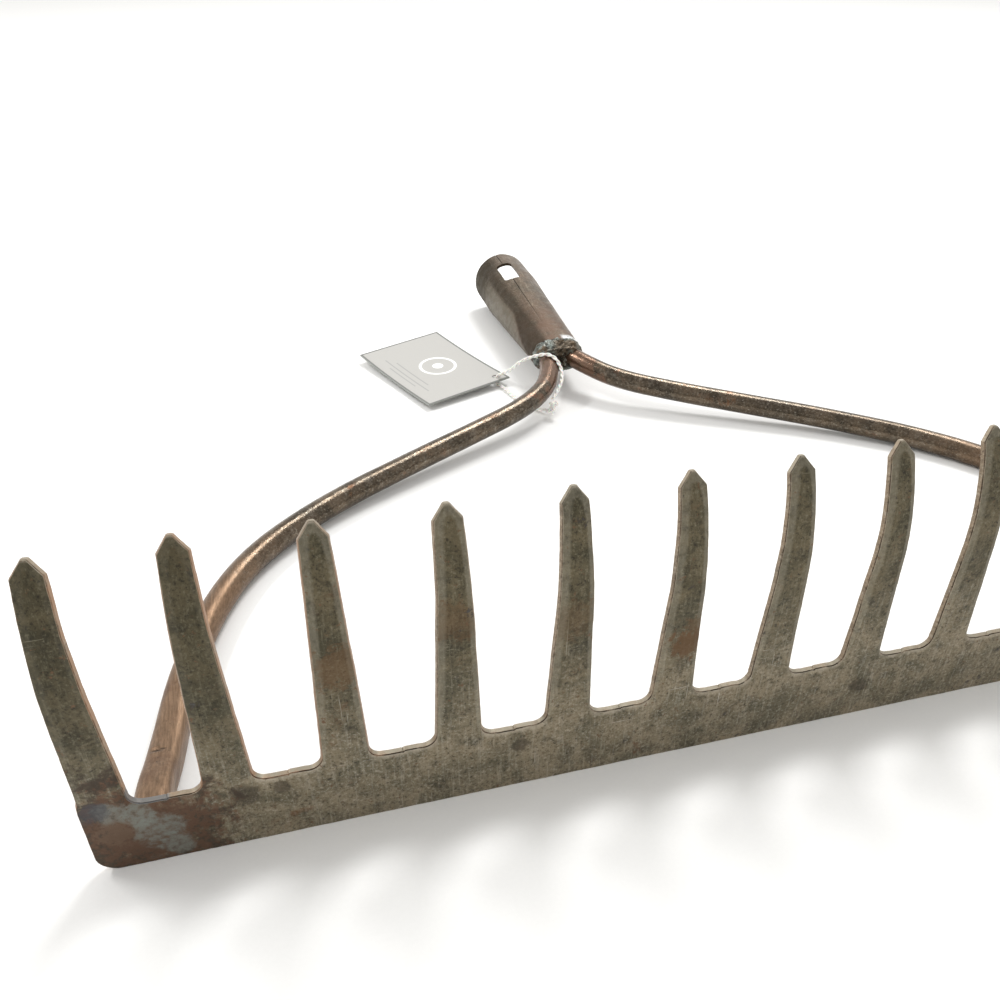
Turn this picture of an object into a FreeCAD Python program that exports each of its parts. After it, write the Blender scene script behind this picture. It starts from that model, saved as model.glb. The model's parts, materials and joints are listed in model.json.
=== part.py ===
"""Head of a bow rake, lying on its back with its tines up, with the hang tag on its string.

All lengths are in millimetres. X runs along the tine bar, Y runs from the bar to the mouth of the
handle socket, and Z points up from the surface that the head lies on. The pieces are drawn in the
bar's own frame (bar front face at Y = 0, rake centre line at X = 0) and each one's Placement then
moves it by half the rake's depth, so the origin is under the middle of the whole head.
"""
import FreeCAD, Part
import math
import os
import Sketcher

from FreeCAD import Placement, Rotation, Vector

SIZES = [
    # tine bar
    ("tine_count", 14, "number of tines"),
    ("tine_pitch", 31.0, "distance from one tine to the next"),
    ("bar_height", 23.2, "height of the bar below the gaps"),
    ("plate_thickness", 2.0, "thickness of the bar's plate"),
    ("bar_corner_radius", 7.0, "radius of the bar's two lower corners"),
    ("tine_root_width", 12.8, "width of a tine where it leaves the bar"),
    ("tine_shoulder_width", 7.4, "width of a tine under its pointed tip"),
    ("tine_tip_length", 3.6, "height of the pointed tip"),
    ("tine_straight", 36.4, "upright length of a tine above the bar"),
    ("tine_bend_radius", 82.0, "radius of the tine's front face where it leans back"),
    ("tine_bend_angle", 26.3, "lean of the tine at its tip"),
    ("gap_corner_radius", 4.0, "radius of the corners at the foot of a gap"),
    # bow
    ("arm_diameter", 10.0, "diameter of the bow's rod"),
    ("arm_offset", 5.4, "distance of an arm's tail from the socket's axis"),
    ("arm_end", 192.5, "distance of an arm's welded end from the centre line"),
    ("arm_end_height", 11.0, "height of an arm's welded end"),
    # socket
    ("rake_depth", 366.0, "from the bar's front face to the socket's mouth"),
    ("socket_length", 116.0, "length of the handle socket"),
    ("socket_offset", -1.5, "distance of the socket's axis from the rake's centre line"),
    ("socket_height", 16.5, "height of the socket's axis"),
    ("mouth_radius", 16.5, "outer radius of the socket's mouth"),
    ("neck_half_flat", 7.4, "half the width between the corners of the socket's oval neck"),
    ("neck_half_height", 8.0, "half the height at the corners of the oval neck"),
    ("neck_side_radius", 8.4, "outer radius of the oval neck's two sides"),
    ("neck_crown_radius", 40.0, "outer radius of the oval neck's top and bottom"),
    ("socket_wall", 1.6, "thickness of the socket's wall"),
    ("mouth_straight", 30.0, "length of the socket's cylindrical mouth"),
    ("slot_width", 9.5, "width of the fixing slot"),
    ("slot_length", 23.0, "length of the fixing slot"),
    ("slot_setback", 17.0, "from the mouth to the fixing slot"),
    ("slot_corner_radius", 3.0, "radius of the fixing slot's corners"),
    ("seam_turn", -12.0, "turn of the slot and seam from the top of the socket"),
    ("arm_tail", 35.0, "length of an arm's tail inside the socket"),
    # welds
    ("bar_weld_radius", 8.6, "outer radius of the weld round an arm's end"),
    ("bar_weld_height", 4.5, "height of that weld above the bar's back face"),
    ("bar_weld_rim", 0.3, "width of that weld's small end, round the arm"),
    ("neck_weld_length", 7.0, "length of the weld in front of the socket"),
    ("weld_tip_half_flat", 7.0, "half the width between the corners of that weld's front end"),
    ("weld_tip_half_height", 6.0, "half the height at the corners of the weld's front end"),
    ("weld_tip_side_radius", 6.4, "radius of the sides of the weld's front end"),
    ("neck_weld_inset", 0.5, "step from the socket's outside to the weld"),
    # hang tag
    ("tag_length", 71.0, "length of the hang tag"),
    ("tag_width", 51.0, "width of the hang tag"),
    ("tag_thickness", 0.8, "thickness of the hang tag"),
    ("tag_curl_radius", 600.0, "radius of the tag's curl"),
    ("tag_hole_radius", 2.0, "radius of the hole for the string"),
    ("tag_hole_edge", 5.3, "distance of the hole from the tag's two edges"),
    ("string_diameter", 1.6, "diameter of the string"),
    ("knot_radius", 1.9, "radius of the knot"),
]

# Centre lines of the two arms between the bar and the socket, from the hand-bent rod's own corners:
# distance from the centre line, distance behind the bar's front face, height. They differ near the
# neck, where the left arm is bent more tightly than the right one.
LEFT_CORNERS = [
    (-190.8, 31.0, 5.6), (-187.0, 66.0, 5.1), (-176.0, 103.0, 5.1), (-159.5, 129.5, 5.1),
    (-130.0, 154.0, 5.8), (-95.0, 173.5, 7.3), (-60.0, 191.5, 9.1), (-34.0, 205.0, 10.7),
    (-17.5, 219.0, 12.4), (-9.4, 235.0, 14.4),
]
RIGHT_CORNERS = [
    (190.8, 31.0, 5.6), (185.5, 64.0, 5.1), (171.0, 103.0, 5.1), (148.0, 137.5, 5.1),
    (112.0, 166.0, 6.5), (78.0, 186.5, 8.6), (46.0, 205.0, 10.9), (22.0, 221.5, 12.8),
    (9.0, 239.0, 15.4),
]

# Route of the string: from the knot up the inside of the left arm, over it in front of the neck,
# down through the tag's hole, back along the ground and under the arm to the knot again.
STRING_ROUTE = [
    (-14.0, 215.6, 8.7), (-7.9, 222.3, 11.7), (-4.1, 230.5, 15.0), (-5.5, 236.9, 20.1),
    (-9.3, 240.9, 21.7), (-15.6, 244.0, 19.6), (-21.3, 248.0, 15.9), (-26.5, 251.5, 9.1),
    (-31.7, 255.4, 5.7), (-32.9, 257.1, 2.4), (-32.3, 254.1, 0.8), (-30.4, 247.7, 1.4),
    (-28.2, 236.9, 1.1), (-24.1, 225.7, 1.1), (-19.0, 216.4, 2.1), (-14.5, 210.6, 5.2),
]

TAG_CENTRE = (-62.8, 277.5, 2.7)
TAG_TURN = -68.2        # turn of the tag's long side from X, in degrees
TAG_TILT = 1.1          # lift of the tag's far long side, in degrees
TAG_PITCH = 1.1         # lift of the tag's far short side, in degrees

doc = FreeCAD.newDocument("bow_rake_head")
sheet = doc.addObject("Spreadsheet::Sheet", "Sizes")
for row, (alias, value, note) in enumerate(SIZES, start=1):
    sheet.set(f"A{row}", alias)
    sheet.set(f"B{row}", str(value))
    sheet.set(f"C{row}", note)
    sheet.setAlias(f"B{row}", alias)
doc.recompute()


def size(alias):
    """The value of one cell of the sheet."""
    return float(getattr(sheet, alias))


def bind(thing, **properties):
    """Bind properties to formulas of the sheet's cells; a double underscore stands for a dot."""
    for name, formula in properties.items():
        thing.setExpression(name.replace("__", "."), formula)


def put_in_frame(thing, across="0", behind="0", height="0"):
    """Place a sub-part by its point in the bar's frame, moved into the rake's frame."""
    bind(thing, Placement__Base__x=across, Placement__Base__y=f"{behind} - Sizes.rake_depth / 2",
         Placement__Base__z=height)


# ---------------------------------------------------------------- sketches and bodies

def new_body(name):
    body = doc.addObject("PartDesign::Body", name)
    body.Label = name
    return body


def new_sketch(body, name, plane, behind=None):
    """A sketch on one of the body's own origin planes, or on one moved along Y by a formula."""
    sketch = body.newObject("Sketcher::SketchObject", name)
    support = next(f for f in body.Origin.OriginFeatures if f.Role == plane)
    sketch.AttachmentSupport = [(support, "")]
    sketch.MapMode = "FlatFace"
    if behind:
        bind(sketch, AttachmentOffset__Base__z=f"-({behind})")
    doc.recompute()
    return sketch


def origin_axis(body, axis):
    return next(f for f in body.Origin.OriginFeatures if f.Role == axis)


def pin_vertex(sketch, edge, end, formulas, axes=("X", "Y")):
    """Hold one end of an edge at two distances from the sketch's origin."""
    for axis, formula in zip(axes, formulas):
        value = float(sketch.evalExpression(formula))
        if abs(value) < 1e-9:
            axis_line = -2 if axis == "X" else -1
            sketch.addConstraint(Sketcher.Constraint("PointOnObject", edge, end, axis_line))
            continue
        number = sketch.addConstraint(
            Sketcher.Constraint("Distance" + axis, -1, 1, edge, end, value))
        sketch.setExpression(f"Constraints[{number}]", formula)


def fix_radius(sketch, edge, formula):
    """Bind the radius of an arc or circle to a formula."""
    number = sketch.addConstraint(
        Sketcher.Constraint("Radius", edge, float(sketch.evalExpression(formula))))
    sketch.setExpression(f"Constraints[{number}]", formula)


def closed_outline(sketch, corners, arcs=None):
    """Draw a closed outline whose corners are pairs of formulas.

    arcs gives, for the edge that starts at a corner, the radius formula and the side on which the
    arc bulges: 1 for the left of the way along the edge, -1 for the right.
    """
    arcs = arcs or {}
    points = [Vector(*(float(sketch.evalExpression(f)) for f in corner), 0) for corner in corners]
    for i, start in enumerate(points):
        end = points[(i + 1) % len(points)]
        if i in arcs:
            radius_formula, side = arcs[i]
            radius = float(sketch.evalExpression(radius_formula))
            half = (end - start) / 2
            left = Vector(-half.y, half.x, 0).normalize()
            rise = radius - math.sqrt(radius ** 2 - half.Length ** 2)
            middle = start + half + left * (side * rise)
            sketch.addGeometry(Part.Arc(start, middle, end), False)
        else:
            sketch.addGeometry(Part.LineSegment(start, end), False)
    count = len(points)
    ends = [arc_ends(sketch, i, points[i]) for i in range(count)]
    for i in range(count):
        after = (i + 1) % count
        sketch.addConstraint(
            Sketcher.Constraint("Coincident", i, ends[i][1], after, ends[after][0]))
    for i, corner in enumerate(corners):
        pin_vertex(sketch, i, ends[i][0], corner)
    for i, (radius_formula, _) in arcs.items():
        fix_radius(sketch, i, radius_formula)
    doc.recompute()


def arc_ends(sketch, edge, start):
    """Numbers of the edge's first and last vertex: a clockwise arc is stored the other way."""
    first = sketch.getPoint(edge, 1)
    if (first - start).Length < 1e-6:
        return 1, 2
    return 2, 1


def oval_outline(sketch, half_flat, half_height, side_radius, crown_radius):
    """Draw an outline of four arcs that meet at the corners of a rectangle."""
    left, right = f"-({half_flat})", half_flat
    bottom, top = f"-({half_height})", half_height
    closed_outline(
        sketch,
        [(left, bottom), (right, bottom), (right, top), (left, top)],
        arcs={0: (crown_radius, -1), 1: (side_radius, -1), 2: (crown_radius, -1),
              3: (side_radius, -1)})


def round_outline(sketch, radius):
    """Draw a circle as four equal arcs, so that it lofts evenly to an oval."""
    corner = f"({radius}) * cos(45 deg)"
    oval_outline(sketch, corner, corner, radius, radius)


def loft_between(body, kind, name, profile, section):
    """A straight-sided loft from one sketch to another."""
    loft = body.newObject(kind, name)
    loft.Profile = profile
    loft.Sections = [section]
    loft.Ruled = True
    doc.recompute()
    return loft


def cut_checked(feature, body, solid_before):
    """Stop if a pocket took nothing away."""
    doc.recompute()
    if not feature.Shape.Volume < solid_before - 1.0:
        raise RuntimeError(f"{feature.Name} of {body.Label} cuts nothing")


# ---------------------------------------------------------------- rods and cords

def rounded_path(corners, share=0.45):
    """A wire of straight runs joined by tangent arcs, each as large as its two runs allow."""
    edges = []
    radii = []
    at = corners[0]
    for before, corner, after in zip(corners, corners[1:], corners[2:]):
        way_in = (corner - before).normalize()
        way_out = (after - corner).normalize()
        reach = share * min((corner - before).Length, (after - corner).Length)
        half_turn = way_in.getAngle(way_out) / 2
        radius = reach / math.tan(half_turn)
        inward = (way_out - way_in).normalize()
        centre = corner + inward * (radius / math.cos(half_turn))
        start = corner - way_in * reach
        end = corner + way_out * reach
        edges.append(Part.LineSegment(at, start).toShape())
        edges.append(Part.Arc(start, centre - inward * radius, end).toShape())
        radii.append(radius)
        at = end
    edges.append(Part.LineSegment(at, corners[-1]).toShape())
    return Part.Wire(edges), radii


def swept_rod(name, corners, diameter_formula):
    """A round rod or cord along a rounded path, and the arcs' radii."""
    wire, radii = rounded_path(corners)
    path = doc.addObject("Part::Feature", name + "_path")
    path.Shape = wire
    section = doc.addObject("Part::Circle", name + "_section")
    bind(section, Radius=diameter_formula + " / 2")
    section.Placement = Placement(corners[0], Rotation(Vector(0, 0, 1), corners[1] - corners[0]))
    rod = doc.addObject("Part::Sweep", name)
    rod.Sections = [section]
    rod.Spine = (path, [f"Edge{i + 1}" for i in range(len(wire.Edges))])
    rod.Solid = True
    rod.Frenet = False
    rod.Label = name
    doc.recompute()
    radius = section.Radius.Value
    expected = math.pi * radius ** 2 * wire.Length
    if abs(rod.Shape.Volume / expected - 1) > 0.01:
        raise RuntimeError(f"{name} has volume {rod.Shape.Volume:.1f}, not {expected:.1f}")
    return rod, radii, wire.Length


# ---------------------------------------------------------------- the pieces

def make_tine_bar():
    """One stamped plate: its side view padded along the bar, then cut into tines by the gaps."""
    body = new_body("tine_bar")
    profile = new_sketch(body, "plate_profile", "YZ_Plane")
    bend_foot = "(Sizes.bar_height + Sizes.tine_straight)"
    front = "Sizes.tine_bend_radius"
    back = "(Sizes.tine_bend_radius - Sizes.plate_thickness)"
    lean = "Sizes.tine_bend_angle * 1 deg"
    closed_outline(
        profile,
        [("0", "0"),
         ("Sizes.plate_thickness", "0"),
         ("Sizes.plate_thickness", bend_foot),
         (f"{front} - {back} * cos({lean})", f"{bend_foot} + {back} * sin({lean})"),
         (f"{front} - {front} * cos({lean})", f"{bend_foot} + {front} * sin({lean})"),
         ("0", bend_foot)],
        arcs={2: (back, 1), 4: (front, -1)})
    plate = body.newObject("PartDesign::Pad", "plate")
    plate.Profile = profile
    plate.Midplane = True
    bind(plate, Length="(Sizes.tine_count - 1) * Sizes.tine_pitch + Sizes.tine_root_width")
    doc.recompute()

    gap = new_sketch(body, "gap_outline", "XZ_Plane")
    middle = "-Sizes.tine_count / 2 * Sizes.tine_pitch"
    tip = f"{bend_foot} + {front} * sin({lean})"
    shoulder = f"{tip} - Sizes.tine_tip_length"
    half_foot = "(Sizes.tine_pitch - Sizes.tine_root_width) / 2"
    half_shoulder = "(Sizes.tine_pitch - Sizes.tine_shoulder_width) / 2"
    half_pitch = "Sizes.tine_pitch / 2"
    above = f"{tip} + Sizes.plate_thickness"
    right_side = [(half_foot, "Sizes.bar_height"), (half_shoulder, shoulder), (half_pitch, tip),
                  (half_pitch, above)]
    outline = [(f"{middle} + {x}", z) for x, z in right_side]
    outline += [(f"{middle} - {x}", z) for x, z in reversed(right_side)]
    closed_outline(gap, outline)
    first_gap = body.newObject("PartDesign::Pocket", "first_gap")
    first_gap.Profile = gap
    first_gap.Type = "ThroughAll"
    first_gap.Midplane = True
    whole = plate.Shape.Volume
    cut_checked(first_gap, body, whole)

    gaps = body.newObject("PartDesign::LinearPattern", "gaps")
    gaps.Originals = [first_gap]
    gaps.Direction = (origin_axis(body, "X_Axis"), [""])
    bind(gaps, Length="Sizes.tine_count * Sizes.tine_pitch", Occurrences="Sizes.tine_count + 1")
    body.Tip = gaps
    cut_checked(gaps, body, first_gap.Shape.Volume)

    def corner_fillet(name, base, height, at_bar_ends, radius_formula):
        """Round the edges that run through the plate's thickness at one height."""
        edge_names = []
        for number, edge in enumerate(base.Shape.Edges, start=1):
            ends = [vertex.Point for vertex in edge.Vertexes]
            level = all(abs(point.z - height) < 1e-4 for point in ends)
            if len(ends) == 2 and level and abs(ends[0].x - ends[1].x) < 1e-4:
                at_end = abs(abs(ends[0].x) - plate.Length.Value / 2) < 1e-3
                if at_end == at_bar_ends:
                    edge_names.append(f"Edge{number}")
        fillet = body.newObject("PartDesign::Fillet", name)
        fillet.Base = (base, edge_names)
        bind(fillet, Radius=radius_formula)
        body.Tip = fillet
        doc.recompute()
        return fillet

    gap_corners = corner_fillet("gap_corners", gaps, size("bar_height"), False,
                                "Sizes.gap_corner_radius")
    corner_fillet("bar_corners", gap_corners, 0, True, "Sizes.bar_corner_radius")
    put_in_frame(body)
    return body


def make_arm(name, side, corners):
    """One half of the bow: from the bar's back face to its tail inside the socket."""
    end_x = side * size("arm_end")
    end_z = size("arm_end_height")
    back = size("plate_thickness")
    tail_x = size("socket_offset") + side * size("arm_offset")
    tail_z = size("socket_height")
    neck = size("rake_depth") - size("socket_length")
    route = [Vector(end_x, back, end_z), Vector(end_x, back + size("arm_diameter"), end_z)]
    route += [Vector(*corner) for corner in corners]
    route += [Vector(tail_x, neck, tail_z), Vector(tail_x, neck + size("arm_tail"), tail_z)]
    rod, _, _ = swept_rod(name, route, "Sizes.arm_diameter")
    put_in_frame(rod)
    return rod


def make_socket():
    """The rolled socket: an oval neck that widens to a round mouth with a slot for a nail."""
    body = new_body("handle_socket")
    neck = "Sizes.rake_depth - Sizes.socket_length"
    shoulder = "Sizes.rake_depth - Sizes.mouth_straight"
    inner_radius = "(Sizes.mouth_radius - Sizes.socket_wall)"

    outer_neck = new_sketch(body, "outer_neck", "XZ_Plane", behind=neck)
    oval_outline(outer_neck, "Sizes.neck_half_flat", "Sizes.neck_half_height",
                 "Sizes.neck_side_radius", "Sizes.neck_crown_radius")
    outer_shoulder = new_sketch(body, "outer_shoulder", "XZ_Plane", behind=shoulder)
    round_outline(outer_shoulder, "Sizes.mouth_radius")
    loft_between(body, "PartDesign::AdditiveLoft", "taper", outer_neck, outer_shoulder)
    mouth = body.newObject("PartDesign::Pad", "mouth")
    mouth.Profile = outer_shoulder
    mouth.Reversed = True
    bind(mouth, Length="Sizes.mouth_straight")
    doc.recompute()

    inner_neck = new_sketch(body, "inner_neck", "XZ_Plane", behind=neck)
    oval_outline(inner_neck, "Sizes.neck_half_flat", "(Sizes.neck_half_height - Sizes.socket_wall)",
                 "(Sizes.neck_side_radius - Sizes.socket_wall)",
                 "(Sizes.neck_crown_radius - Sizes.socket_wall)")
    inner_shoulder = new_sketch(body, "inner_shoulder", "XZ_Plane", behind=shoulder)
    round_outline(inner_shoulder, inner_radius)
    solid_volume = mouth.Shape.Volume
    hollow = loft_between(body, "PartDesign::SubtractiveLoft", "taper_hollow", inner_neck,
                          inner_shoulder)
    cut_checked(hollow, body, solid_volume)
    bore_outline = new_sketch(body, "bore_outline", "XZ_Plane", behind=shoulder)
    bore_outline.addGeometry(
        Part.Circle(Vector(0, 0, 0), Vector(0, 0, 1), size("mouth_radius") - size("socket_wall")))
    bore_outline.addConstraint(Sketcher.Constraint("Coincident", 0, 3, -1, 1))
    fix_radius(bore_outline, 0, inner_radius)
    bore = body.newObject("PartDesign::Pocket", "bore")
    bore.Profile = bore_outline
    bore.Type = "Length"
    bind(bore, Length="Sizes.mouth_straight")
    cut_checked(bore, body, hollow.Shape.Volume)

    slot = new_sketch(body, "slot_outline", "XY_Plane")
    slot.AttachmentOffset = Placement(Vector(), Rotation(Vector(0, 1, 0), size("seam_turn")))
    far_end = "(Sizes.rake_depth - Sizes.slot_setback)"
    near_end = f"({far_end} - Sizes.slot_length)"
    half_width = "Sizes.slot_width / 2"
    corner = "Sizes.slot_corner_radius"
    closed_outline(
        slot,
        [(f"-{half_width}", f"{near_end} + {corner}"),
         (f"-{half_width} + {corner}", near_end),
         (half_width, near_end),
         (half_width, f"{far_end} - {corner}"),
         (f"{half_width} - {corner}", far_end),
         (f"-{half_width}", far_end)])
    cut = body.newObject("PartDesign::Pocket", "slot")
    cut.Profile = slot
    cut.Type = "Length"
    cut.Reversed = True
    bind(cut, Length="Sizes.mouth_radius + Sizes.socket_wall")
    cut_checked(cut, body, bore.Shape.Volume)
    put_in_frame(body, across="Sizes.socket_offset", height="Sizes.socket_height")
    return body


def make_bar_weld(name, side, arm):
    """The weld round an arm's end on the bar's back face."""
    blank = doc.addObject("Part::Cone", name + "_blank")
    bind(blank, Radius1="Sizes.bar_weld_radius", Radius2="Sizes.arm_diameter / 2 + Sizes.bar_weld_rim",
         Height="Sizes.bar_weld_height")
    blank.Placement.Rotation = Rotation(Vector(0, 0, 1), Vector(0, 1, 0))
    put_in_frame(blank, f"{side} * Sizes.arm_end", "Sizes.plate_thickness", "Sizes.arm_end_height")
    weld = doc.addObject("Part::Cut", name)
    weld.Base = blank
    weld.Tool = arm
    weld.Label = name
    doc.recompute()
    return weld


def make_neck_weld(arms):
    """The weld that closes the socket's neck round the two arms."""
    blank = new_body("neck_weld_blank")
    neck = "Sizes.rake_depth - Sizes.socket_length"
    at_neck = new_sketch(blank, "weld_at_neck", "XZ_Plane", behind=neck)
    oval_outline(at_neck, "Sizes.neck_half_flat", "(Sizes.neck_half_height - Sizes.neck_weld_inset)",
                 "(Sizes.neck_side_radius - Sizes.neck_weld_inset)",
                 "(Sizes.neck_crown_radius - Sizes.neck_weld_inset)")
    at_tip = new_sketch(blank, "weld_tip", "XZ_Plane", behind=f"{neck} - Sizes.neck_weld_length")
    oval_outline(at_tip, "Sizes.weld_tip_half_flat", "Sizes.weld_tip_half_height",
                 "Sizes.weld_tip_side_radius", "Sizes.neck_crown_radius")
    loft_between(blank, "PartDesign::AdditiveLoft", "weld_body", at_neck, at_tip)
    put_in_frame(blank, across="Sizes.socket_offset", height="Sizes.socket_height")
    both_arms = doc.addObject("Part::MultiFuse", "both_arms")
    both_arms.Shapes = arms
    weld = doc.addObject("Part::Cut", "neck_weld")
    weld.Base = blank
    weld.Tool = both_arms
    weld.Label = "neck_weld"
    doc.recompute()
    return weld


def make_hang_tag():
    """A stiff card, a little curled along its length, with a hole near one corner."""
    body = new_body("hang_tag")
    side_view = new_sketch(body, "tag_side_view", "XZ_Plane")
    half_angle = "(Sizes.tag_length / 2 / Sizes.tag_curl_radius * 1 rad)"
    under = "Sizes.tag_curl_radius"
    over = "(Sizes.tag_curl_radius - Sizes.tag_thickness)"

    def on_curl(radius, sign):
        return f"{sign} {radius} * sin({half_angle})", f"{under} - {radius} * cos({half_angle})"

    closed_outline(
        side_view,
        [on_curl(under, "-1 *"), on_curl(under, "1 *"), on_curl(over, "1 *"),
         on_curl(over, "-1 *")],
        arcs={0: (under, -1), 2: (over, 1)})
    card = body.newObject("PartDesign::Pad", "card")
    card.Profile = side_view
    card.Midplane = True
    bind(card, Length="Sizes.tag_width")
    doc.recompute()
    hole = new_sketch(body, "tag_hole_outline", "XY_Plane")
    corner = ("Sizes.tag_length / 2 - Sizes.tag_hole_edge",
              "Sizes.tag_width / 2 - Sizes.tag_hole_edge")
    middle = Vector(*(float(hole.evalExpression(formula)) for formula in corner), 0)
    hole.addGeometry(Part.Circle(middle, Vector(0, 0, 1), size("tag_hole_radius")))
    pin_vertex(hole, 0, 3, corner)
    fix_radius(hole, 0, "Sizes.tag_hole_radius")
    through = body.newObject("PartDesign::Pocket", "tag_hole")
    through.Profile = hole
    through.Type = "ThroughAll"
    through.Midplane = True
    cut_checked(through, body, card.Shape.Volume)
    turn = Rotation(Vector(0, 0, 1), TAG_TURN)
    tilt = Rotation(Vector(1, 0, 0), TAG_TILT) * Rotation(Vector(0, 1, 0), TAG_PITCH)
    body.Placement.Rotation = turn * tilt
    put_in_frame(body, *(str(value) for value in TAG_CENTRE))
    return body


def make_string():
    """The string, and the knot that holds its two ends."""
    corners = [Vector(*point) for point in STRING_ROUTE]
    string, radii, length = swept_rod("tag_string", corners, "Sizes.string_diameter")
    knot = doc.addObject("Part::Sphere", "tag_knot")
    bind(knot, Radius="Sizes.knot_radius")
    middle = (corners[0] + corners[-1]) / 2
    put_in_frame(knot, *(str(value) for value in middle))
    knot.Label = "tag_knot"
    put_in_frame(string)
    print("tag_string length %.1f mm, arc radii" % length, [round(r, 1) for r in radii])
    return string, knot


tine_bar = make_tine_bar()
left_arm = make_arm("left_bow_arm", -1, LEFT_CORNERS)
right_arm = make_arm("right_bow_arm", 1, RIGHT_CORNERS)
socket = make_socket()
left_weld = make_bar_weld("left_bar_weld", -1, left_arm)
right_weld = make_bar_weld("right_bar_weld", 1, right_arm)
neck_weld = make_neck_weld([left_arm, right_arm])
hang_tag = make_hang_tag()
tag_string, tag_knot = make_string()

SUB_PARTS = [tine_bar, left_arm, right_arm, socket, left_weld, right_weld, neck_weld, hang_tag,
             tag_string, tag_knot]
doc.recompute()
os.makedirs("parts", exist_ok=True)
for thing in doc.Objects:
    if "Invalid" in thing.State or "Error" in thing.State:
        raise RuntimeError(f"{thing.Name} failed: {thing.State}")
for sub_part in SUB_PARTS:
    if sub_part.Shape.isNull() or not sub_part.Shape.isValid():
        raise RuntimeError(f"{sub_part.Label} has no valid shape")
for sub_part in SUB_PARTS:
    sub_part.Shape.exportStep(f"parts/{sub_part.Label}.step")
    print(sub_part.Label, "volume %.0f" % sub_part.Shape.Volume, sub_part.Shape.BoundBox)
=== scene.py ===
"""The looks of the bow rake head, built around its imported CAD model.

X runs along the tine bar, Y from the bar to the mouth of the handle socket, and Z up from the floor
that the head lies on. The model's frame is in metres. Shapes are worked out in millimetres in the
bar's own frame, whose Y is 0 on the bar's front face, and in_frame() takes them over.
"""
import json
import math

import bmesh
import bpy
from mathutils import Matrix, Vector, noise

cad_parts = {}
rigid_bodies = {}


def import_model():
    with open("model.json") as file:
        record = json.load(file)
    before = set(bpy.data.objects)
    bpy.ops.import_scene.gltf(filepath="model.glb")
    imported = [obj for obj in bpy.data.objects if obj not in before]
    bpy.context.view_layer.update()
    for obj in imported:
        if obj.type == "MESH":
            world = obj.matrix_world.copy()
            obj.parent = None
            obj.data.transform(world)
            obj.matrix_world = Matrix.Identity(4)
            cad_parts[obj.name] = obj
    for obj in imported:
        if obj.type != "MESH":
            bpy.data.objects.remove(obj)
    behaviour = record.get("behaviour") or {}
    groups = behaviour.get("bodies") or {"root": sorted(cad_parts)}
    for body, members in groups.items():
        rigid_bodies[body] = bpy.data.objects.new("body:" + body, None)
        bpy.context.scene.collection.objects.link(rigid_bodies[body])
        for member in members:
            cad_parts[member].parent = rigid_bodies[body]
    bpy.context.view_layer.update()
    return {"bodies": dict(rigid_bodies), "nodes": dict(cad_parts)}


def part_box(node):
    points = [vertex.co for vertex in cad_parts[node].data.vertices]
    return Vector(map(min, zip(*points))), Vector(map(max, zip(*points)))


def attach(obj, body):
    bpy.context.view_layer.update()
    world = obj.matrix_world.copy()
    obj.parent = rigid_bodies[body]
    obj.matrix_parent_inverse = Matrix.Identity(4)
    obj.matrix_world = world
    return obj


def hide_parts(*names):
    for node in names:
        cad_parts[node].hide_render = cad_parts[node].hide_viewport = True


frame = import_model()
BODY = next(iter(frame["bodies"]))
MM = 0.001
BAR_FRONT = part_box("tine_bar")[0].y
FLOOR_GAP = 0.02               # nothing of the head goes lower than this over the floor
NOISE_SEED = 14
noise.seed_set(NOISE_SEED)     # without a seed, noise_vector() differs from run to run


def in_frame(x, y, z):
    """A point in millimetres in the bar's frame, as a point of the model's frame."""
    return Vector((x * MM, y * MM + BAR_FRONT, z * MM))


def placed(name, data):
    """A new object with the given data, linked to the scene."""
    thing = bpy.data.objects.new(name, data)
    bpy.context.scene.collection.objects.link(thing)
    return thing


# ---- camera

CAMERA_PLACE = (-0.1414, -0.3497, 0.2157)
CAMERA_YAW = 0.2565
CAMERA_PITCH = 0.5872
CAMERA_ROLL = 0.0022
CAMERA_LENS = 32.4


def make_camera():
    data = bpy.data.cameras.new("camera")
    data.lens = CAMERA_LENS
    data.clip_start = 0.01
    camera = placed("camera", data)
    camera.matrix_world = (Matrix.Translation(CAMERA_PLACE)
                           @ Matrix.Rotation(-CAMERA_YAW, 4, "Z")
                           @ Matrix.Rotation(math.pi / 2 - CAMERA_PITCH, 4, "X")
                           @ Matrix.Rotation(CAMERA_ROLL, 4, "Z"))
    bpy.context.scene.camera = camera


make_camera()


# ---- mesh helpers

def finished_mesh(name, bm, crease_degrees=32):
    """Turn a bmesh into a smooth-shaded mesh whose steep edges stay sharp."""
    bmesh.ops.recalc_face_normals(bm, faces=bm.faces)
    crease = math.radians(crease_degrees)
    for edge in bm.edges:
        if len(edge.link_faces) == 2 and edge.calc_face_angle() > crease:
            edge.smooth = False
    for face in bm.faces:
        face.smooth = True
    mesh = bpy.data.meshes.new(name)
    bm.to_mesh(mesh)
    bm.free()
    return mesh


def piece(name, bm, crease_degrees, materials, replaced):
    """Put a bmesh in the scene as a piece that rides on the head in place of a CAD node."""
    mesh = finished_mesh(name, bm, crease_degrees)
    for material in materials:
        mesh.materials.append(material)
    thing = placed(name, mesh)
    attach(thing, BODY)
    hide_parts(replaced)
    return thing


def new_marks(bm, *names):
    """Named numbers on every vertex, which the materials read."""
    return {name: bm.verts.layers.float.new(name) for name in names}


def join_rings(bm, rings, round_ring=True, loop_of_rings=False, material_index=0):
    """Quads between rings of vertices that all have the same number of points."""
    count = len(rings[0])
    pairs = list(zip(rings, rings[1:]))
    if loop_of_rings:
        pairs.append((rings[-1], rings[0]))
    for first, second in pairs:
        for i in range(count if round_ring else count - 1):
            j = (i + 1) % count
            face = bm.faces.new((first[i], first[j], second[j], second[i]))
            face.material_index = material_index


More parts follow.
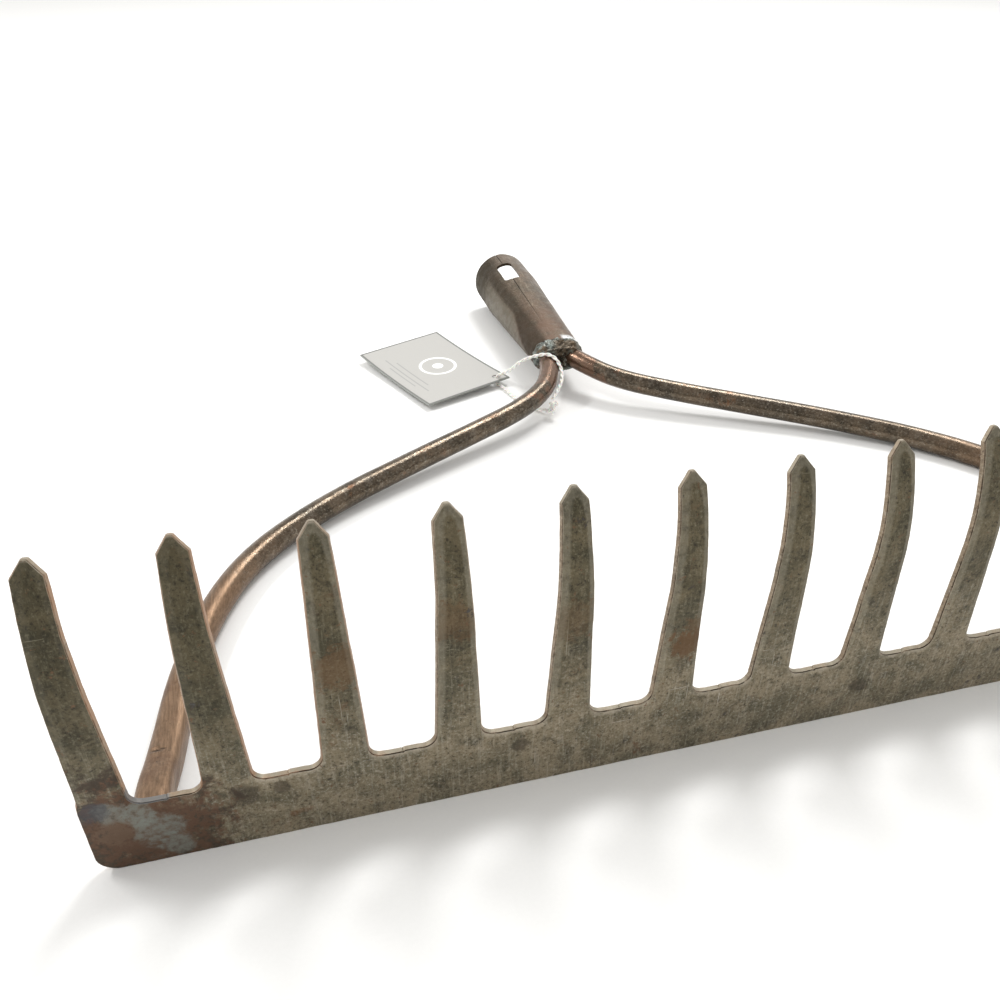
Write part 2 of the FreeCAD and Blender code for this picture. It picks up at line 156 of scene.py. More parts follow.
def route_points(name, points, steps):
    """Points along the smooth NURBS line that has the given points as its control points."""
    curve = bpy.data.curves.new(name, "CURVE")
    curve.dimensions = "3D"
    curve.resolution_u = steps
    spline = curve.splines.new("NURBS")
    spline.points.add(len(points) - 1)
    for spot, point in zip(spline.points, points):
        spot.co = (*point, 1)
    spline.order_u = 3
    spline.use_endpoint_u = True
    holder = placed(name, curve)
    bpy.context.view_layer.update()
    line = bpy.data.meshes.new_from_object(holder)
    found = [vertex.co.copy() for vertex in line.vertices]
    bpy.data.objects.remove(holder)
    return found


def evenly_spaced(points, step):
    """Points a step apart along a line of points, its two ends included."""
    lengths = [0.0]
    for a, b in zip(points, points[1:]):
        lengths.append(lengths[-1] + (b - a).length)
    count = max(2, round(lengths[-1] / step))
    found = []
    k = 0
    for i in range(count + 1):
        at = lengths[-1] * i / count
        while k < len(lengths) - 2 and lengths[k + 1] < at:
            k += 1
        share = (at - lengths[k]) / max(lengths[k + 1] - lengths[k], 1e-12)
        found.append(points[k].lerp(points[k + 1], min(1.0, share)))
    return found


def frames_along(points, first_up=Vector((0, 0, 1))):
    """At each point of a line: a direction across it, and the one square to both."""
    ways = []
    for i in range(len(points)):
        ways.append((points[min(i + 1, len(points) - 1)] - points[max(i - 1, 0)]).normalized())
    up = (first_up - ways[0] * first_up.dot(ways[0])).normalized()
    found = []
    for i, way in enumerate(ways):
        if i:
            up = ways[i - 1].rotation_difference(way) @ up
            up = (up - way * up.dot(way)).normalized()
        found.append((up, way.cross(up)))
    return found


def swept_tube(bm, points, section):
    """A closed tube along points; section(i) gives its outline there as (across, up) pairs."""
    rings = []
    for i, (point, (up, across)) in enumerate(zip(points, frames_along(points))):
        rings.append([bm.verts.new(point + across * a + up * b) for a, b in section(i)])
    join_rings(bm, rings)
    bm.faces.new(rings[0])
    bm.faces.new(rings[-1])


def circle(radius, sides):
    turns = [2 * math.pi * k / sides for k in range(sides)]
    return [(radius * math.cos(turn), radius * math.sin(turn)) for turn in turns]


def smooth_step(value, low, high):
    share = min(1.0, max(0.0, (value - low) / (high - low)))
    return share * share * (3 - 2 * share)


def window(value, rise_from, rise_to, fall_from, fall_to):
    """Rises smoothly from 0 to 1 and falls back to 0."""
    return smooth_step(value, rise_from, rise_to) * (1 - smooth_step(value, fall_from, fall_to))


# ---- material helpers

def set_range(node, low, high, start, end):
    """Make a map range node turn low to high into start to end."""
    for name, number in (("From Min", low), ("From Max", high), ("To Min", start), ("To Max", end)):
        node.inputs[name].default_value = number
    return node.outputs["Result"]


class Shader:
    """A procedural material. Its short calls add nodes and return their sockets.

    The surface's colour is built in coats: base() lays the first, and paint() the others on top.
    """

    def __init__(self, name):
        self.material = bpy.data.materials.new(name)
        self.material.use_nodes = True
        self.nodes = self.material.node_tree.nodes
        self.links = self.material.node_tree.links
        self.surface = self.nodes["Principled BSDF"]
        coordinates = self.node("TexCoord")
        self.place = coordinates.outputs["Object"]
        self.facing = coordinates.outputs["Normal"]

    def put(self, socket, value):
        """Set a socket to a plain value, or link another socket to it."""
        if isinstance(value, bpy.types.NodeSocket):
            self.links.new(value, socket)
        else:
            socket.default_value = value

    def node(self, kind, **inputs):
        """A new node of a kind, with the named inputs set or linked."""
        made = self.nodes.new("ShaderNode" + kind)
        for name, value in inputs.items():
            self.put(made.inputs[name], value)
        return made

    def stretched(self, scale, turn=(0, 0, 0)):
        return self.node("Mapping", Vector=self.place, Scale=scale, Rotation=turn).outputs[0]

    def noise(self, scale, detail=4.0, rough=0.55, place=None, warp=0.0):
        return self.node("TexNoise", Vector=place or self.place, Scale=scale, Detail=detail,
                         Roughness=rough, Distortion=warp).outputs["Fac"]

    def ramp(self, value, low, high, start=0.0, end=1.0):
        """value from low to high becomes start to end, smoothly, and stays there outside."""
        node = self.node("MapRange", Value=value)
        node.interpolation_type = "SMOOTHSTEP"
        return set_range(node, low, high, start, end)

    def clouds(self, scale, detail, rough, low, high, start=0.0, end=1.0, warp=0.0):
        """A noise sharpened by a ramp."""
        return self.ramp(self.noise(scale, detail, rough, warp=warp), low, high, start, end)

    def attribute(self, name):
        node = self.node("Attribute")
        node.attribute_name = name
        return node.outputs["Fac"]

    def calc(self, operation, first, second=0.0):
        node = self.node("Math")
        node.operation = operation
        self.put(node.inputs[0], first)
        self.put(node.inputs[1], second)
        return node.outputs["Value"]

    def times(self, first, second):
        return self.calc("MULTIPLY", first, second)

    def plus(self, first, second):
        return self.calc("ADD", first, second)

    def less(self, first, second):
        return self.calc("SUBTRACT", first, second)

    def larger(self, first, second):
        return self.calc("MAXIMUM", first, second)

    def mix(self, share, first, second, blend="MIX"):
        """The colour first where share is 0, and second, or their product, where it is 1."""
        node = self.node("Mix")
        node.data_type = "RGBA"
        node.blend_type = blend
        self.put(node.inputs["Factor"], share)
        sockets = [socket for socket in node.inputs if socket.type == "RGBA"]
        for socket, colour in zip(sockets, (first, second)):
            self.put(socket, (*colour, 1) if isinstance(colour, tuple) else colour)
        return next(socket for socket in node.outputs if socket.type == "RGBA")

    def base(self, share, first, second):
        self.colour = self.mix(share, first, second)

    def paint(self, share, colour, blend="MIX"):
        self.colour = self.mix(share, self.colour, colour, blend)

    def axis(self, place, name):
        return self.node("SeparateXYZ", Vector=place).outputs[name]

    def nearness(self, centre, reach):
        """1 at a point of the model's frame, falling to 0 at a distance from it."""
        node = self.node("VectorMath")
        node.operation = "DISTANCE"
        self.put(node.inputs[0], self.place)
        node.inputs[1].default_value = centre
        return self.ramp(node.outputs["Value"], 0.0, reach, 1.0, 0.0)

    def bump(self, height, distance, strength=1.0, after=None):
        node = self.node("Bump", Distance=distance, Strength=strength, Height=height)
        if after:
            self.put(node.inputs["Normal"], after)
        return node.outputs["Normal"]

    def finish(self, roughness, normal, metallic=0.0):
        self.put(self.surface.inputs["Base Color"], self.colour)
        self.put(self.surface.inputs["Roughness"], roughness)
        self.put(self.surface.inputs["Metallic"], metallic)
        self.put(self.surface.inputs["Normal"], normal)
        return self.material


# ---- materials

# Near black: real soot and dirt, and also painted shade in cracks and pits.
SOOT_AND_SHADE = (0.016, 0.013, 0.010)
RUST = (0.170, 0.070, 0.028)
BRIGHT_SCRATCH = (0.50, 0.47, 0.41)


def worn_steel(s, dark, warm, light, rust_share, grain, drawn=0.45):
    """Paint old steel: mottled patina, speckle, drawn grain, a few scratches and clouds of rust.

    Returns how rusty each place is, and the bumps.
    """
    s.base(s.clouds(65, 10, 0.74, 0.36, 0.60, warp=0.5), dark, warm)
    s.paint(s.clouds(170, 9, 0.74, 0.50, 0.66, 0.0, 0.70, warp=0.3),
            tuple(0.50 * value for value in dark))
    lines = s.noise(1.0, 4, 0.65, s.stretched(grain))
    s.paint(s.ramp(lines, 0.50, 0.74, 0.0, drawn), light)
    speckle = s.noise(1100, 4, 0.75)
    s.paint(s.ramp(speckle, 0.53, 0.68, 0.0, 0.60), light)
    s.paint(s.ramp(speckle, 0.47, 0.33, 0.0, 0.72), SOOT_AND_SHADE)
    rust = s.times(s.clouds(34, 6, 0.66, 0.66 - rust_share, 0.72, warp=0.7),
                   s.clouds(420, 5, 0.72, 0.36, 0.60))
    s.paint(s.times(rust, 0.8), RUST)
    nicks = s.larger(scratches(s, (0.3, 0.5, 0.2), (45, 2600, 2600)),
                     scratches(s, (0.1, -0.9, 0.5), (2400, 2400, 38)))
    s.paint(s.times(nicks, s.clouds(48, 3, 0.55, 0.53, 0.62, 0.0, 0.75)), BRIGHT_SCRATCH)
    height = s.plus(s.times(speckle, 0.55), s.times(lines, 0.35))
    normal = s.bump(s.plus(height, s.times(rust, 0.5)), 0.00014, 0.9)
    return rust, s.bump(s.noise(120, 5, 0.6), 0.0005, 0.4, after=normal)


def scratches(s, turn, scale):
    """Where thin scratches are: a noise drawn out along one direction, cut off near its top."""
    return s.ramp(s.noise(1.0, 2.0, 0.5, s.stretched(scale, turn)), 0.70, 0.73)


def near(s, centre, reach, amount, ragged, spread=2.6):
    """A patch round a point in the bar's frame, with its edge broken up by a noise."""
    broken = s.times(s.less(ragged, 0.5), spread)
    patch = s.plus(s.nearness(in_frame(*centre), reach * MM), broken)
    return s.ramp(patch, 0.34, 0.70, 0.0, amount)


# Rust stains and dark spots on the bar's front: x, z, reach, and how strong a stain is.
STAINS = ((-44.0, 44.0, 10, 0.85), (-42.0, 50.0, 7, 0.5), (-139.0, 58.0, 13, 0.55),
          (-109.0, 66.0, 12, 0.40), (-78.0, 60.0, 12, 0.3), (70.0, 55.0, 12, 0.6))
SPOTS = ((-167.0, 19.0, 8), (-157.5, 19.0, 4.5), (-92.0, 17.0, 5), (18.0, 12.0, 7),
         (103.0, 16.0, 6))
# Blue-grey heat marks opposite each arm's weld: distance from the bar's middle, z and reach.
BLUE_MARKS = ((189.5, 13.0, 12), (186.5, 6.0, 9), (193.5, 19.5, 9), (200.0, 21.5, 9))


def bar_face_steel():
    """The tine bar's faces: olive steel, paler bevels from a painted sheen, and the heat marks of
    the arms' welds.
    """
    s = Shader("bar_face_steel")
    rust, normal = worn_steel(s, (0.111, 0.098, 0.061), (0.240, 0.197, 0.129),
                              (0.42, 0.385, 0.31), 0.05, (1500, 1500, 90))
    height = s.axis(s.place, "Z")
    ragged = s.noise(130, 8, 0.72, warp=0.4)
    fine = s.noise(420, 7, 0.78)
    s.paint(s.ramp(height, 0.024, 0.062), (0.50, 0.49, 0.42), "MULTIPLY")
    by_weld = s.ramp(s.axis(s.place, "X"), -0.125, -0.180)
    s.paint(s.times(by_weld, s.ramp(height, 0.02, 0.05, 0.10, 1.0)), (0.72, 0.72, 0.68), "MULTIPLY")
    # Painted sheen: the front bevels are made paler.
    s.paint(s.times(s.attribute("bevel"), s.ramp(fine, 0.3, 0.6, 0.12, 0.34)), (0.34, 0.31, 0.24))
    # Paler along the outline of each face: rubbed wear on the cut edges, and a painted highlight
    # there too.
    s.paint(s.times(s.attribute("rim"), s.clouds(300, 4, 0.55, 0.35, 0.6, 0.0, 0.60)),
            (0.46, 0.40, 0.32))
    for x, z, reach, amount in STAINS:
        s.paint(near(s, (x, 0, z), reach, amount, fine, 3.4), (0.115, 0.060, 0.024))
    for x, z, reach in SPOTS:
        s.paint(near(s, (x, 0, z), reach, 0.6, ragged), (0.040, 0.029, 0.018))
    for side in (-1, 1):
        s.paint(near(s, (side * 194.0, 0, 14.0), 44, 0.90, ragged), (0.044, 0.029, 0.018))
        s.paint(near(s, (side * 192.0, 0, 14.0), 34, 0.62, fine, 3.2), (0.125, 0.060, 0.032))
        for x, z, reach in BLUE_MARKS:
            blue = near(s, (side * x, 0, z), reach, 0.90, ragged, 2.0)
            s.paint(s.times(blue, s.ramp(fine, 0.34, 0.60, 0.2, 0.85)), (0.190, 0.205, 0.180))
        s.paint(near(s, (side * 200.5, 0, 14.0), 9, 0.45, fine, 3.2), (0.140, 0.094, 0.060))
        s.paint(near(s, (side * 204.0, 0, 23.0), 8, 0.6, ragged), (0.050, 0.053, 0.066))
    rough = s.plus(s.clouds(200, 5, 0.55, 0.35, 0.65, 0.40, 0.56), s.times(rust, 0.25))
    return s.finish(rough, normal, 0.6)


def bar_edge_steel():
    """The stamped edges: tan-grey torn metal with painted shade in its crack and painted light on
    its upward faces, rusty towards the left weld.
    """
    s = Shader("bar_edge_steel")
    rust, normal = worn_steel(s, (0.235, 0.195, 0.140), (0.275, 0.215, 0.150),
                              (0.48, 0.44, 0.36), 0.07, (700, 70, 700))
    left = s.ramp(s.axis(s.place, "X"), -0.105, -0.155, 0.15, 0.85)
    s.paint(s.times(left, s.clouds(140, 5, 0.65, 0.30, 0.60, 0.3, 1.0)), (0.330, 0.190, 0.110))
    # Painted light: the edge faces that point upwards are made paler.
    painted_top_light = s.ramp(s.axis(s.facing, "Z"), 0.45, 0.75)
    s.paint(s.times(painted_top_light, s.clouds(170, 6, 0.7, 0.36, 0.60, 0.35, 0.95)),
            (0.300, 0.268, 0.205))
    back = s.ramp(s.attribute("back"), 0.55, 1.0)
    s.paint(s.times(back, s.clouds(200, 4, 0.55, 0.35, 0.55, 0.2, 0.8)), (0.20, 0.095, 0.045))
    # Painted shade, near black, down in the crack behind the front face.
    s.paint(s.times(s.attribute("crack"), s.clouds(260, 4, 0.55, 0.40, 0.52)), SOOT_AND_SHADE)
    s.paint(near(s, (-191.0, 1, 23.0), 13, 0.8, s.noise(240, 4), 2.0), (0.15, 0.155, 0.16))
    return s.finish(s.plus(0.48, s.times(rust, 0.25)), normal, 0.5)


def rod_steel():
    """The arms: drawn rod, brown-grey and glossy, orange-brown where the welding heated it."""
    s = Shader("rod_steel")
    rust, normal = worn_steel(s, (0.064, 0.050, 0.034), (0.128, 0.095, 0.064),
                              (0.34, 0.31, 0.26), 0.05, (240, 120, 240), 0.25)
    sides = []
    for side in (-1, 1):
        patch = s.nearness(in_frame(side * 187.0, 30, 8.0), 0.165)
        sides.append(s.ramp(s.times(patch, s.noise(60, 7, 0.7)), 0.06, 0.32, 0.0, 0.90))
    heat = s.larger(*sides)
    fibres = s.noise(1.0, 5, 0.7, s.stretched((1500, 110, 1500), (0, 0, 0.12)))
    warm = s.mix(s.ramp(fibres, 0.34, 0.64), (0.130, 0.078, 0.044), (0.232, 0.144, 0.086))
    warm = s.mix(s.clouds(90, 8, 0.75, 0.50, 0.64, 0.0, 0.55), warm, (0.120, 0.060, 0.032))
    warm = s.mix(s.clouds(900, 4, 0.75, 0.58, 0.74, 0.0, 0.8), warm, (0.050, 0.032, 0.022))
    s.paint(heat, warm)
    s.paint(near(s, (-8.0, 236.0, 16.0), 52, 0.65, s.noise(140, 6, 0.7)), (0.190, 0.105, 0.068))
    # Painted shade, near black, in the hollow of the nick.
    s.paint(s.attribute("pit_shade"), SOOT_AND_SHADE)
    gloss = s.ramp(s.noise(1.0, 4, 0.6, s.stretched((500, 60, 500))), 0.3, 0.7, 0.12, 0.27)
    return s.finish(s.plus(gloss, s.times(s.larger(heat, rust), 0.24)), normal, 0.75)


def socket_steel():
    """The socket: brown patina, reddish at the neck, with a bare, scratched strip on its left."""
    s = Shader("socket_steel")
    rust, normal = worn_steel(s, (0.090, 0.068, 0.044), (0.128, 0.090, 0.060),
                              (0.34, 0.29, 0.22), 0.04, (700, 60, 700), 0.30)
    red = s.times(s.ramp(s.axis(s.place, "Y"), 0.130, 0.085), s.clouds(90, 6, 0.7, 0.32, 0.58))
    s.paint(s.times(red, 0.65), (0.128, 0.072, 0.046))
    shade = s.attribute("shade")
    s.paint(s.times(shade, 0.80), (0.024, 0.018, 0.009))
    streaks = s.noise(1.0, 5, 0.7, s.stretched((320, 900, 320), (0.5, 0, 0)))
    bare = s.times(s.attribute("bare"), s.ramp(streaks, 0.36, 0.56, 0.30, 1.0))
    s.paint(s.times(bare, 0.80), (0.122, 0.108, 0.074))
    s.paint(s.times(s.attribute("silver"), s.clouds(420, 5, 0.7, 0.34, 0.5)), (0.66, 0.68, 0.68))
    s.paint(s.attribute("seam"), SOOT_AND_SHADE)
    rough = s.plus(s.clouds(260, 5, 0.55, 0.35, 0.65, 0.36, 0.50),
                   s.times(s.larger(rust, shade), 0.25))
    s.surface.inputs["Specular IOR Level"].default_value = 0.25
    return s.finish(rough, normal, 0.55)


def weld_steel():
    """Weld metal: grey-green and silvery lumps, brown scale, sooty patches, painted glints, and
    black painted shade in its pits.
    """
    s = Shader("weld_steel")
    lumps = s.noise(300, 7, 0.7)
    s.base(s.ramp(lumps, 0.40, 0.60), (0.060, 0.066, 0.058), (0.235, 0.262, 0.240))
    brown = s.larger(s.clouds(130, 5, 0.65, 0.46, 0.58, 0.0, 0.85),
                     s.times(s.attribute("scale"), 0.85))
    s.paint(brown, (0.105, 0.070, 0.040))
    # Painted glints: small bright specks over the weld.
    s.paint(s.clouds(700, 4, 0.7, 0.60, 0.70, 0.0, 0.85), (0.72, 0.72, 0.66))
    s.paint(s.clouds(420, 5, 0.7, 0.44, 0.34, 0.0, 0.9), SOOT_AND_SHADE)
    # Painted shade, near black, in the weld's pits.
    s.paint(s.attribute("pit_shade"), (0.010, 0.008, 0.006))
    normal = s.bump(s.noise(1400, 4), 0.0001, 0.7, after=s.bump(lumps, 0.0008, 0.9))
    return s.finish(s.clouds(500, 3, 0.55, 0.35, 0.65, 0.26, 0.52), normal, 0.75)


def twine():
    """The string: off-white cotton with fine fibres."""
    s = Shader("twine")
    fibres = s.noise(2600, 4, 0.7)
    s.base(s.ramp(fibres, 0.35, 0.60), (0.80, 0.77, 0.70), (0.97, 0.96, 0.93))
    s.surface.inputs["Subsurface Weight"].default_value = 0.2
    s.surface.inputs["Subsurface Scale"].default_value = 0.001
    return s.finish(0.8, s.bump(fibres, 0.00012, 0.7))


TAG_CENTRE = (-62.8, 277.5, 2.7)
TAG_TURN = -68.2
TAG_TILT = 1.1
TAG_PITCH = 1.1
TAG_LENGTH = 0.071
TAG_WIDTH = 0.051
RING_OFFSET = 0.003            # how far off the tag's middle its printed ring and dot are
RING_EDGES = (0.0088, 0.0104)
DOT_RADIUS = 0.0030
RULES = ((-0.0135, 0.016), (-0.0170, 0.022), (-0.0196, 0.013))  # place across, and half length
RULE_HALF_WIDTH = 0.00035


def tag_card():
    """The hang tag's card: grey-white satin, a dark line at its edges, and plain generic marks."""
    s = Shader("tag_card")
    turn = (Matrix.Rotation(math.radians(TAG_TURN), 3, "Z")
            @ Matrix.Rotation(math.radians(TAG_TILT), 3, "X")
            @ Matrix.Rotation(math.radians(TAG_PITCH), 3, "Y")).to_euler()
    local = s.node("Mapping", Vector=s.place, Location=in_frame(*TAG_CENTRE), Rotation=turn)
    local.vector_type = "TEXTURE"
    along, across = (s.axis(local.outputs["Vector"], name) for name in "XY")

    def band(value, low, high, soft=0.00012):
        return s.times(s.ramp(value, low - soft, low + soft),
                       s.ramp(value, high - soft, high + soft, 1.0, 0.0))

    paper = s.noise(700, 3, 0.6)
    s.base(paper, (0.43, 0.42, 0.395), (0.49, 0.48, 0.455))
    inset = s.calc("MINIMUM", s.less(TAG_LENGTH / 2, s.calc("ABSOLUTE", along)),
                   s.less(TAG_WIDTH / 2, s.calc("ABSOLUTE", across)))
    from_ring = s.less(across, RING_OFFSET)
    from_ring = s.calc("SQRT", s.plus(s.calc("POWER", along, 2.0), s.calc("POWER", from_ring, 2.0)))
    s.paint(s.larger(band(from_ring, *RING_EDGES), band(from_ring, -1.0, DOT_RADIUS)),
            (0.92, 0.92, 0.90))
    for line, reach in RULES:
        rule = s.times(band(across, line - RULE_HALF_WIDTH, line + RULE_HALF_WIDTH),
                       band(along, -reach, reach))
        s.paint(s.times(rule, 0.6), (0.25, 0.25, 0.25))
    s.paint(s.ramp(inset, 0.0013, 0.0009, 0.0, 0.9), (0.12, 0.125, 0.115))
    s.paint(s.ramp(inset, 0.0001, 0.00003), (0.30, 0.31, 0.29))
    return s.finish(s.ramp(paper, 0.3, 0.7, 0.36, 0.50), s.bump(paper, 0.00005, 0.5))


# ---- the string and its knot

STRING_ROUTE = [
    (-0.0140, 0.2156, 0.0087), (-0.0079, 0.2223, 0.0117), (-0.0041, 0.2305, 0.0150),
    (-0.0055, 0.2369, 0.0201), (-0.0093, 0.2409, 0.0217), (-0.0156, 0.2440, 0.0196),
    (-0.0213, 0.2480, 0.0159), (-0.0265, 0.2515, 0.0091), (-0.0317, 0.2554, 0.0057),
    (-0.0329, 0.2571, 0.0024), (-0.0323, 0.2541, 0.0008), (-0.0304, 0.2477, 0.0014),
    (-0.0282, 0.2369, 0.0011), (-0.0241, 0.2257, 0.0011), (-0.0190, 0.2164, 0.0021),
    (-0.0145, 0.2106, 0.0052),
]
STRING_TWIST = 0.0070          # length of one full turn of the two plies
PLY_RADIUS = 0.00052
PLY_OFFSET = 0.00046
KNOT_SIZE = 0.00062
KNOT_STEPS = 96
KNOT_TAILS = ((-0.0032, -0.0004, -0.0038), (-0.0014, -0.0024, -0.0040))
TAIL_RADIUS = 0.0006


def strand(bm, points, start_turn, twist):
    """One ply of the string, wound round the line of points."""
    wound = []
    travelled = 0.0
    for i, (point, (up, across)) in enumerate(zip(points, frames_along(points))):
        if i:
            travelled += (point - points[i - 1]).length
        turn = start_turn + 2 * math.pi * travelled / twist
        wound.append(point + (across * math.cos(turn) + up * math.sin(turn)) * PLY_OFFSET)
    swept_tube(bm, wound, lambda _: circle(PLY_RADIUS, 10))


def make_string(material):
    points = [Vector((x, y + BAR_FRONT, z)) for x, y, z in STRING_ROUTE]
    line = evenly_spaced(route_points("string_route", points, 24), 0.00035)
    bm = bmesh.new()
    for start_turn in (0.0, math.pi):
        strand(bm, line, start_turn, STRING_TWIST)
    string = piece("twisted_string", bm, 80, [material], "tag_string")
    length = sum((b - a).length for a, b in zip(line, line[1:]))
    return string, line, length


def make_knot(material, line):
    """An overhand knot, drawn as a trefoil, and the string's two short ends."""
    centre = (line[0] + line[-1]) / 2
    bm = bmesh.new()
    loop = []
    for k in range(KNOT_STEPS):
        t = 2 * math.pi * k / KNOT_STEPS
        loop.append(centre + KNOT_SIZE * Vector((math.sin(t) + 2 * math.sin(2 * t),
                                                 -1.4 * math.sin(3 * t),
                                                 math.cos(t) - 2 * math.cos(2 * t))))
    rings = []
    for i, point in enumerate(loop):
        way = (loop[(i + 1) % KNOT_STEPS] - loop[i - 1]).normalized()
        side = way.cross(Vector((0, 1, 0))).normalized()
        up = side.cross(way)
        rings.append([bm.verts.new(point + side * a + up * b) for a, b in circle(TAIL_RADIUS, 10)])
    join_rings(bm, rings, loop_of_rings=True)
    for end in KNOT_TAILS:
        far = centre + Vector(end)
        bend = centre + Vector(end) * 0.5 + Vector((0, 0, 0.0012))
        swept_tube(bm, evenly_spaced(route_points("tail", [centre, bend, far], 12), 0.0004),
                   lambda _: circle(TAIL_RADIUS, 10))
    return piece("overhand_knot", bm, 80, [material], "tag_knot")


twine_material = twine()
string, string_line, string_length = make_string(twine_material)
knot = make_knot(twine_material, string_line)
hang_tag = frame["nodes"]["hang_tag"]


# ---- the tine bar

TINE_COUNT = 14
TINE_PITCH = 31.0
BAR_HEIGHT = 23.2
THICKNESS = 2.0
ROOT_WIDTH = 12.8
SHOULDER_WIDTH = 7.4
TIP_LENGTH = 3.6
TIP_WIDTH = 1.5
BEND_FOOT = 59.6
BEND_RADIUS = 82.0
BEND_ANGLE = math.radians(26.3)
GAP_RADIUS = 4.0
CORNER_RADIUS = 6.0
FACE_INSET = 0.25              # the front face is this much narrower than the CAD plate, each side
GAP_DROP = 0.35                # and its edge in the gaps is this much lower
ROOT_LINE = BAR_HEIGHT - GAP_DROP + GAP_RADIUS
TIP_HEIGHT = BEND_FOOT + BEND_RADIUS * math.sin(BEND_ANGLE)
TIP_TRAVEL = BEND_FOOT + BEND_RADIUS * BEND_ANGLE
CHAMFER = 0.15

# The bevel round the front face: its width in the gaps and on a tine's two sides, and its depth.
# On a tine's tip its crease forms a pointed arch between two heights.
GAP_BEVEL = 1.2
TINE_BEVELS = {-1: 2.3, 1: 1.5}
GAP_BEVEL_DEPTH = 0.30
BEVEL_DEPTH = 0.45
END_BEVEL_DEPTH = 0.12         # on the two tines by the weld, which were hammered flat
END_BEVEL_SHINE = 0.25         # and how pale the painted sheen makes the bevels of those two
ARCH_FOOT = TIP_TRAVEL - 12.0
ARCH_TOP = TIP_TRAVEL - 2.4

# How far each tine leans out of its place, in millimetres, because they were bent and filed by
# hand: its root sideways, its tip sideways, and its tip upwards.
ROOT_SHIFT = [0.0, -0.1, -0.45, -0.5, 0.1, 0.6, 0.75, 0.55, 0.3, 0.2, -0.3, 0.2, 0.1, 0.0]
TIP_SHIFT = [-0.6, -1.1, -1.05, -0.1, 1.2, 1.95, 1.9, 0.9, -0.9, -0.4, 0.7, -0.6, 0.9, -0.3]
TIP_RISE = [1.0, 1.9, 0.5, 0.2, 0.0, -0.5, -0.6, -0.4, 0.0, 0.3, -0.3, 0.2, -0.2, 0.4]

# Columns across half a tine: 0 is its middle, 1 the bevel's crease and 2 its edge.
HALF_COLUMNS = [0.0, 0.2, 0.4, 0.6, 0.8, 1.0, 1.35, 1.7, 1.93, 2.0]
# Outline of a cut edge from the front face to the back: place through the thickness, how far it
# stands out, and how deep in the crack behind the face it is, which is how much painted shade it
# gets there. The punch tore the plate's back half outwards.
EDGE_OUTLINE = [(0.05, 0.07, 0.0), (0.10, -0.10, 1.0), (0.22, -0.06, 1.0), (0.28, 0.20, 0.0),
                (0.60, 0.32, 0.0), (0.93, 0.48, 0.0)]
BACK_FLARE = 0.5
GAP_FLAT_COLUMNS = [0.12, 0.25, 0.36, 0.45, 0.485, 0.515, 0.55, 0.64, 0.75, 0.88]
BAR_ROWS = 13
ROW_STEP = 1.5
TIP_ROWS = 6
FILLET_STEPS = 9


def tine_x(k):
    return (k - (TINE_COUNT - 1) / 2) * TINE_PITCH


def height_of(travel):
    """Height of the front face's point that lies a distance up the unbent tine."""
    if travel <= BEND_FOOT:
        return travel
    return BEND_FOOT + BEND_RADIUS * math.sin((travel - BEND_FOOT) / BEND_RADIUS)


def travel_of(height):
    return BEND_FOOT + BEND_RADIUS * math.asin((height - BEND_FOOT) / BEND_RADIUS)


def half_width(travel):
    height = height_of(travel)
    shoulder = TIP_HEIGHT - TIP_LENGTH
    if height <= shoulder:
        share = (height - BAR_HEIGHT) / (shoulder - BAR_HEIGHT)
        return (ROOT_WIDTH + (SHOULDER_WIDTH - ROOT_WIDTH) * share) / 2 - FACE_INSET
    share = (height - shoulder) / TIP_LENGTH
    return (SHOULDER_WIDTH + (TIP_WIDTH - SHOULDER_WIDTH) * share) / 2 - FACE_INSET


def plate_point(x, y, travel):
    """Where a point of the flat plate goes: uneven by hand work, then bent back over the tines."""
    place = x / TINE_PITCH + (TINE_COUNT - 1) / 2
    k = min(TINE_COUNT - 1, max(0, round(place)))
    left = min(TINE_COUNT - 2, max(0, math.floor(place)))
    share = min(1.0, max(0.0, place - left))
    root = ROOT_SHIFT[left] + (ROOT_SHIFT[left + 1] - ROOT_SHIFT[left]) * share
    up = max(0.0, (travel - ROOT_LINE) / (TIP_TRAVEL - ROOT_LINE))
    wave = noise.noise_vector(Vector((x, y * 0.2, travel)) * 0.11)
    ripple = noise.noise_vector(Vector((x, y, travel)) * 0.55)
    if x < tine_x(0):
        step = window(travel, 24.6, 27.4, 30, 60)
        x += 0.6 * step * min(1.0, (tine_x(0) - x) / 6)
    x += root * (1 - up) + TIP_SHIFT[k] * up ** 1.25
    x += 0.16 * wave.x * min(1.0, 3 * up) + 0.06 * ripple.x
    y += 0.10 * wave.y + 0.05 * ripple.y
    travel += TIP_RISE[k] * up + 0.04 * ripple.z
    if travel <= BEND_FOOT:
        return in_frame(x, y, max(FLOOR_GAP, travel))
    lean = (travel - BEND_FOOT) / BEND_RADIUS
    reach = BEND_RADIUS - y
    return in_frame(x, BEND_RADIUS - reach * math.cos(lean), BEND_FOOT + reach * math.sin(lean))


def crease_share(side, travel):
    """Where the bevel's crease runs across half a tine, from 0 in the middle to 1 at its edge."""
    widening = smooth_step(travel, ROOT_LINE, ROOT_LINE + 18)
    width = GAP_BEVEL + (TINE_BEVELS[side] - GAP_BEVEL) * widening
    share = 1 - width / half_width(travel)
    arch = min(1.0, max(0.0, (travel - ARCH_FOOT) / (ARCH_TOP - ARCH_FOOT)))
    return max(0.03, share * math.sqrt(1 - arch * arch))


def place_across(column, travel):
    """A tine column's place across the tine, from -1 to 1."""
    side = -1 if column < 0 else 1
    crease = crease_share(side, travel)
    size = abs(column)
    return side * (size * crease if size <= 1 else crease + (size - 1) * (1 - crease))


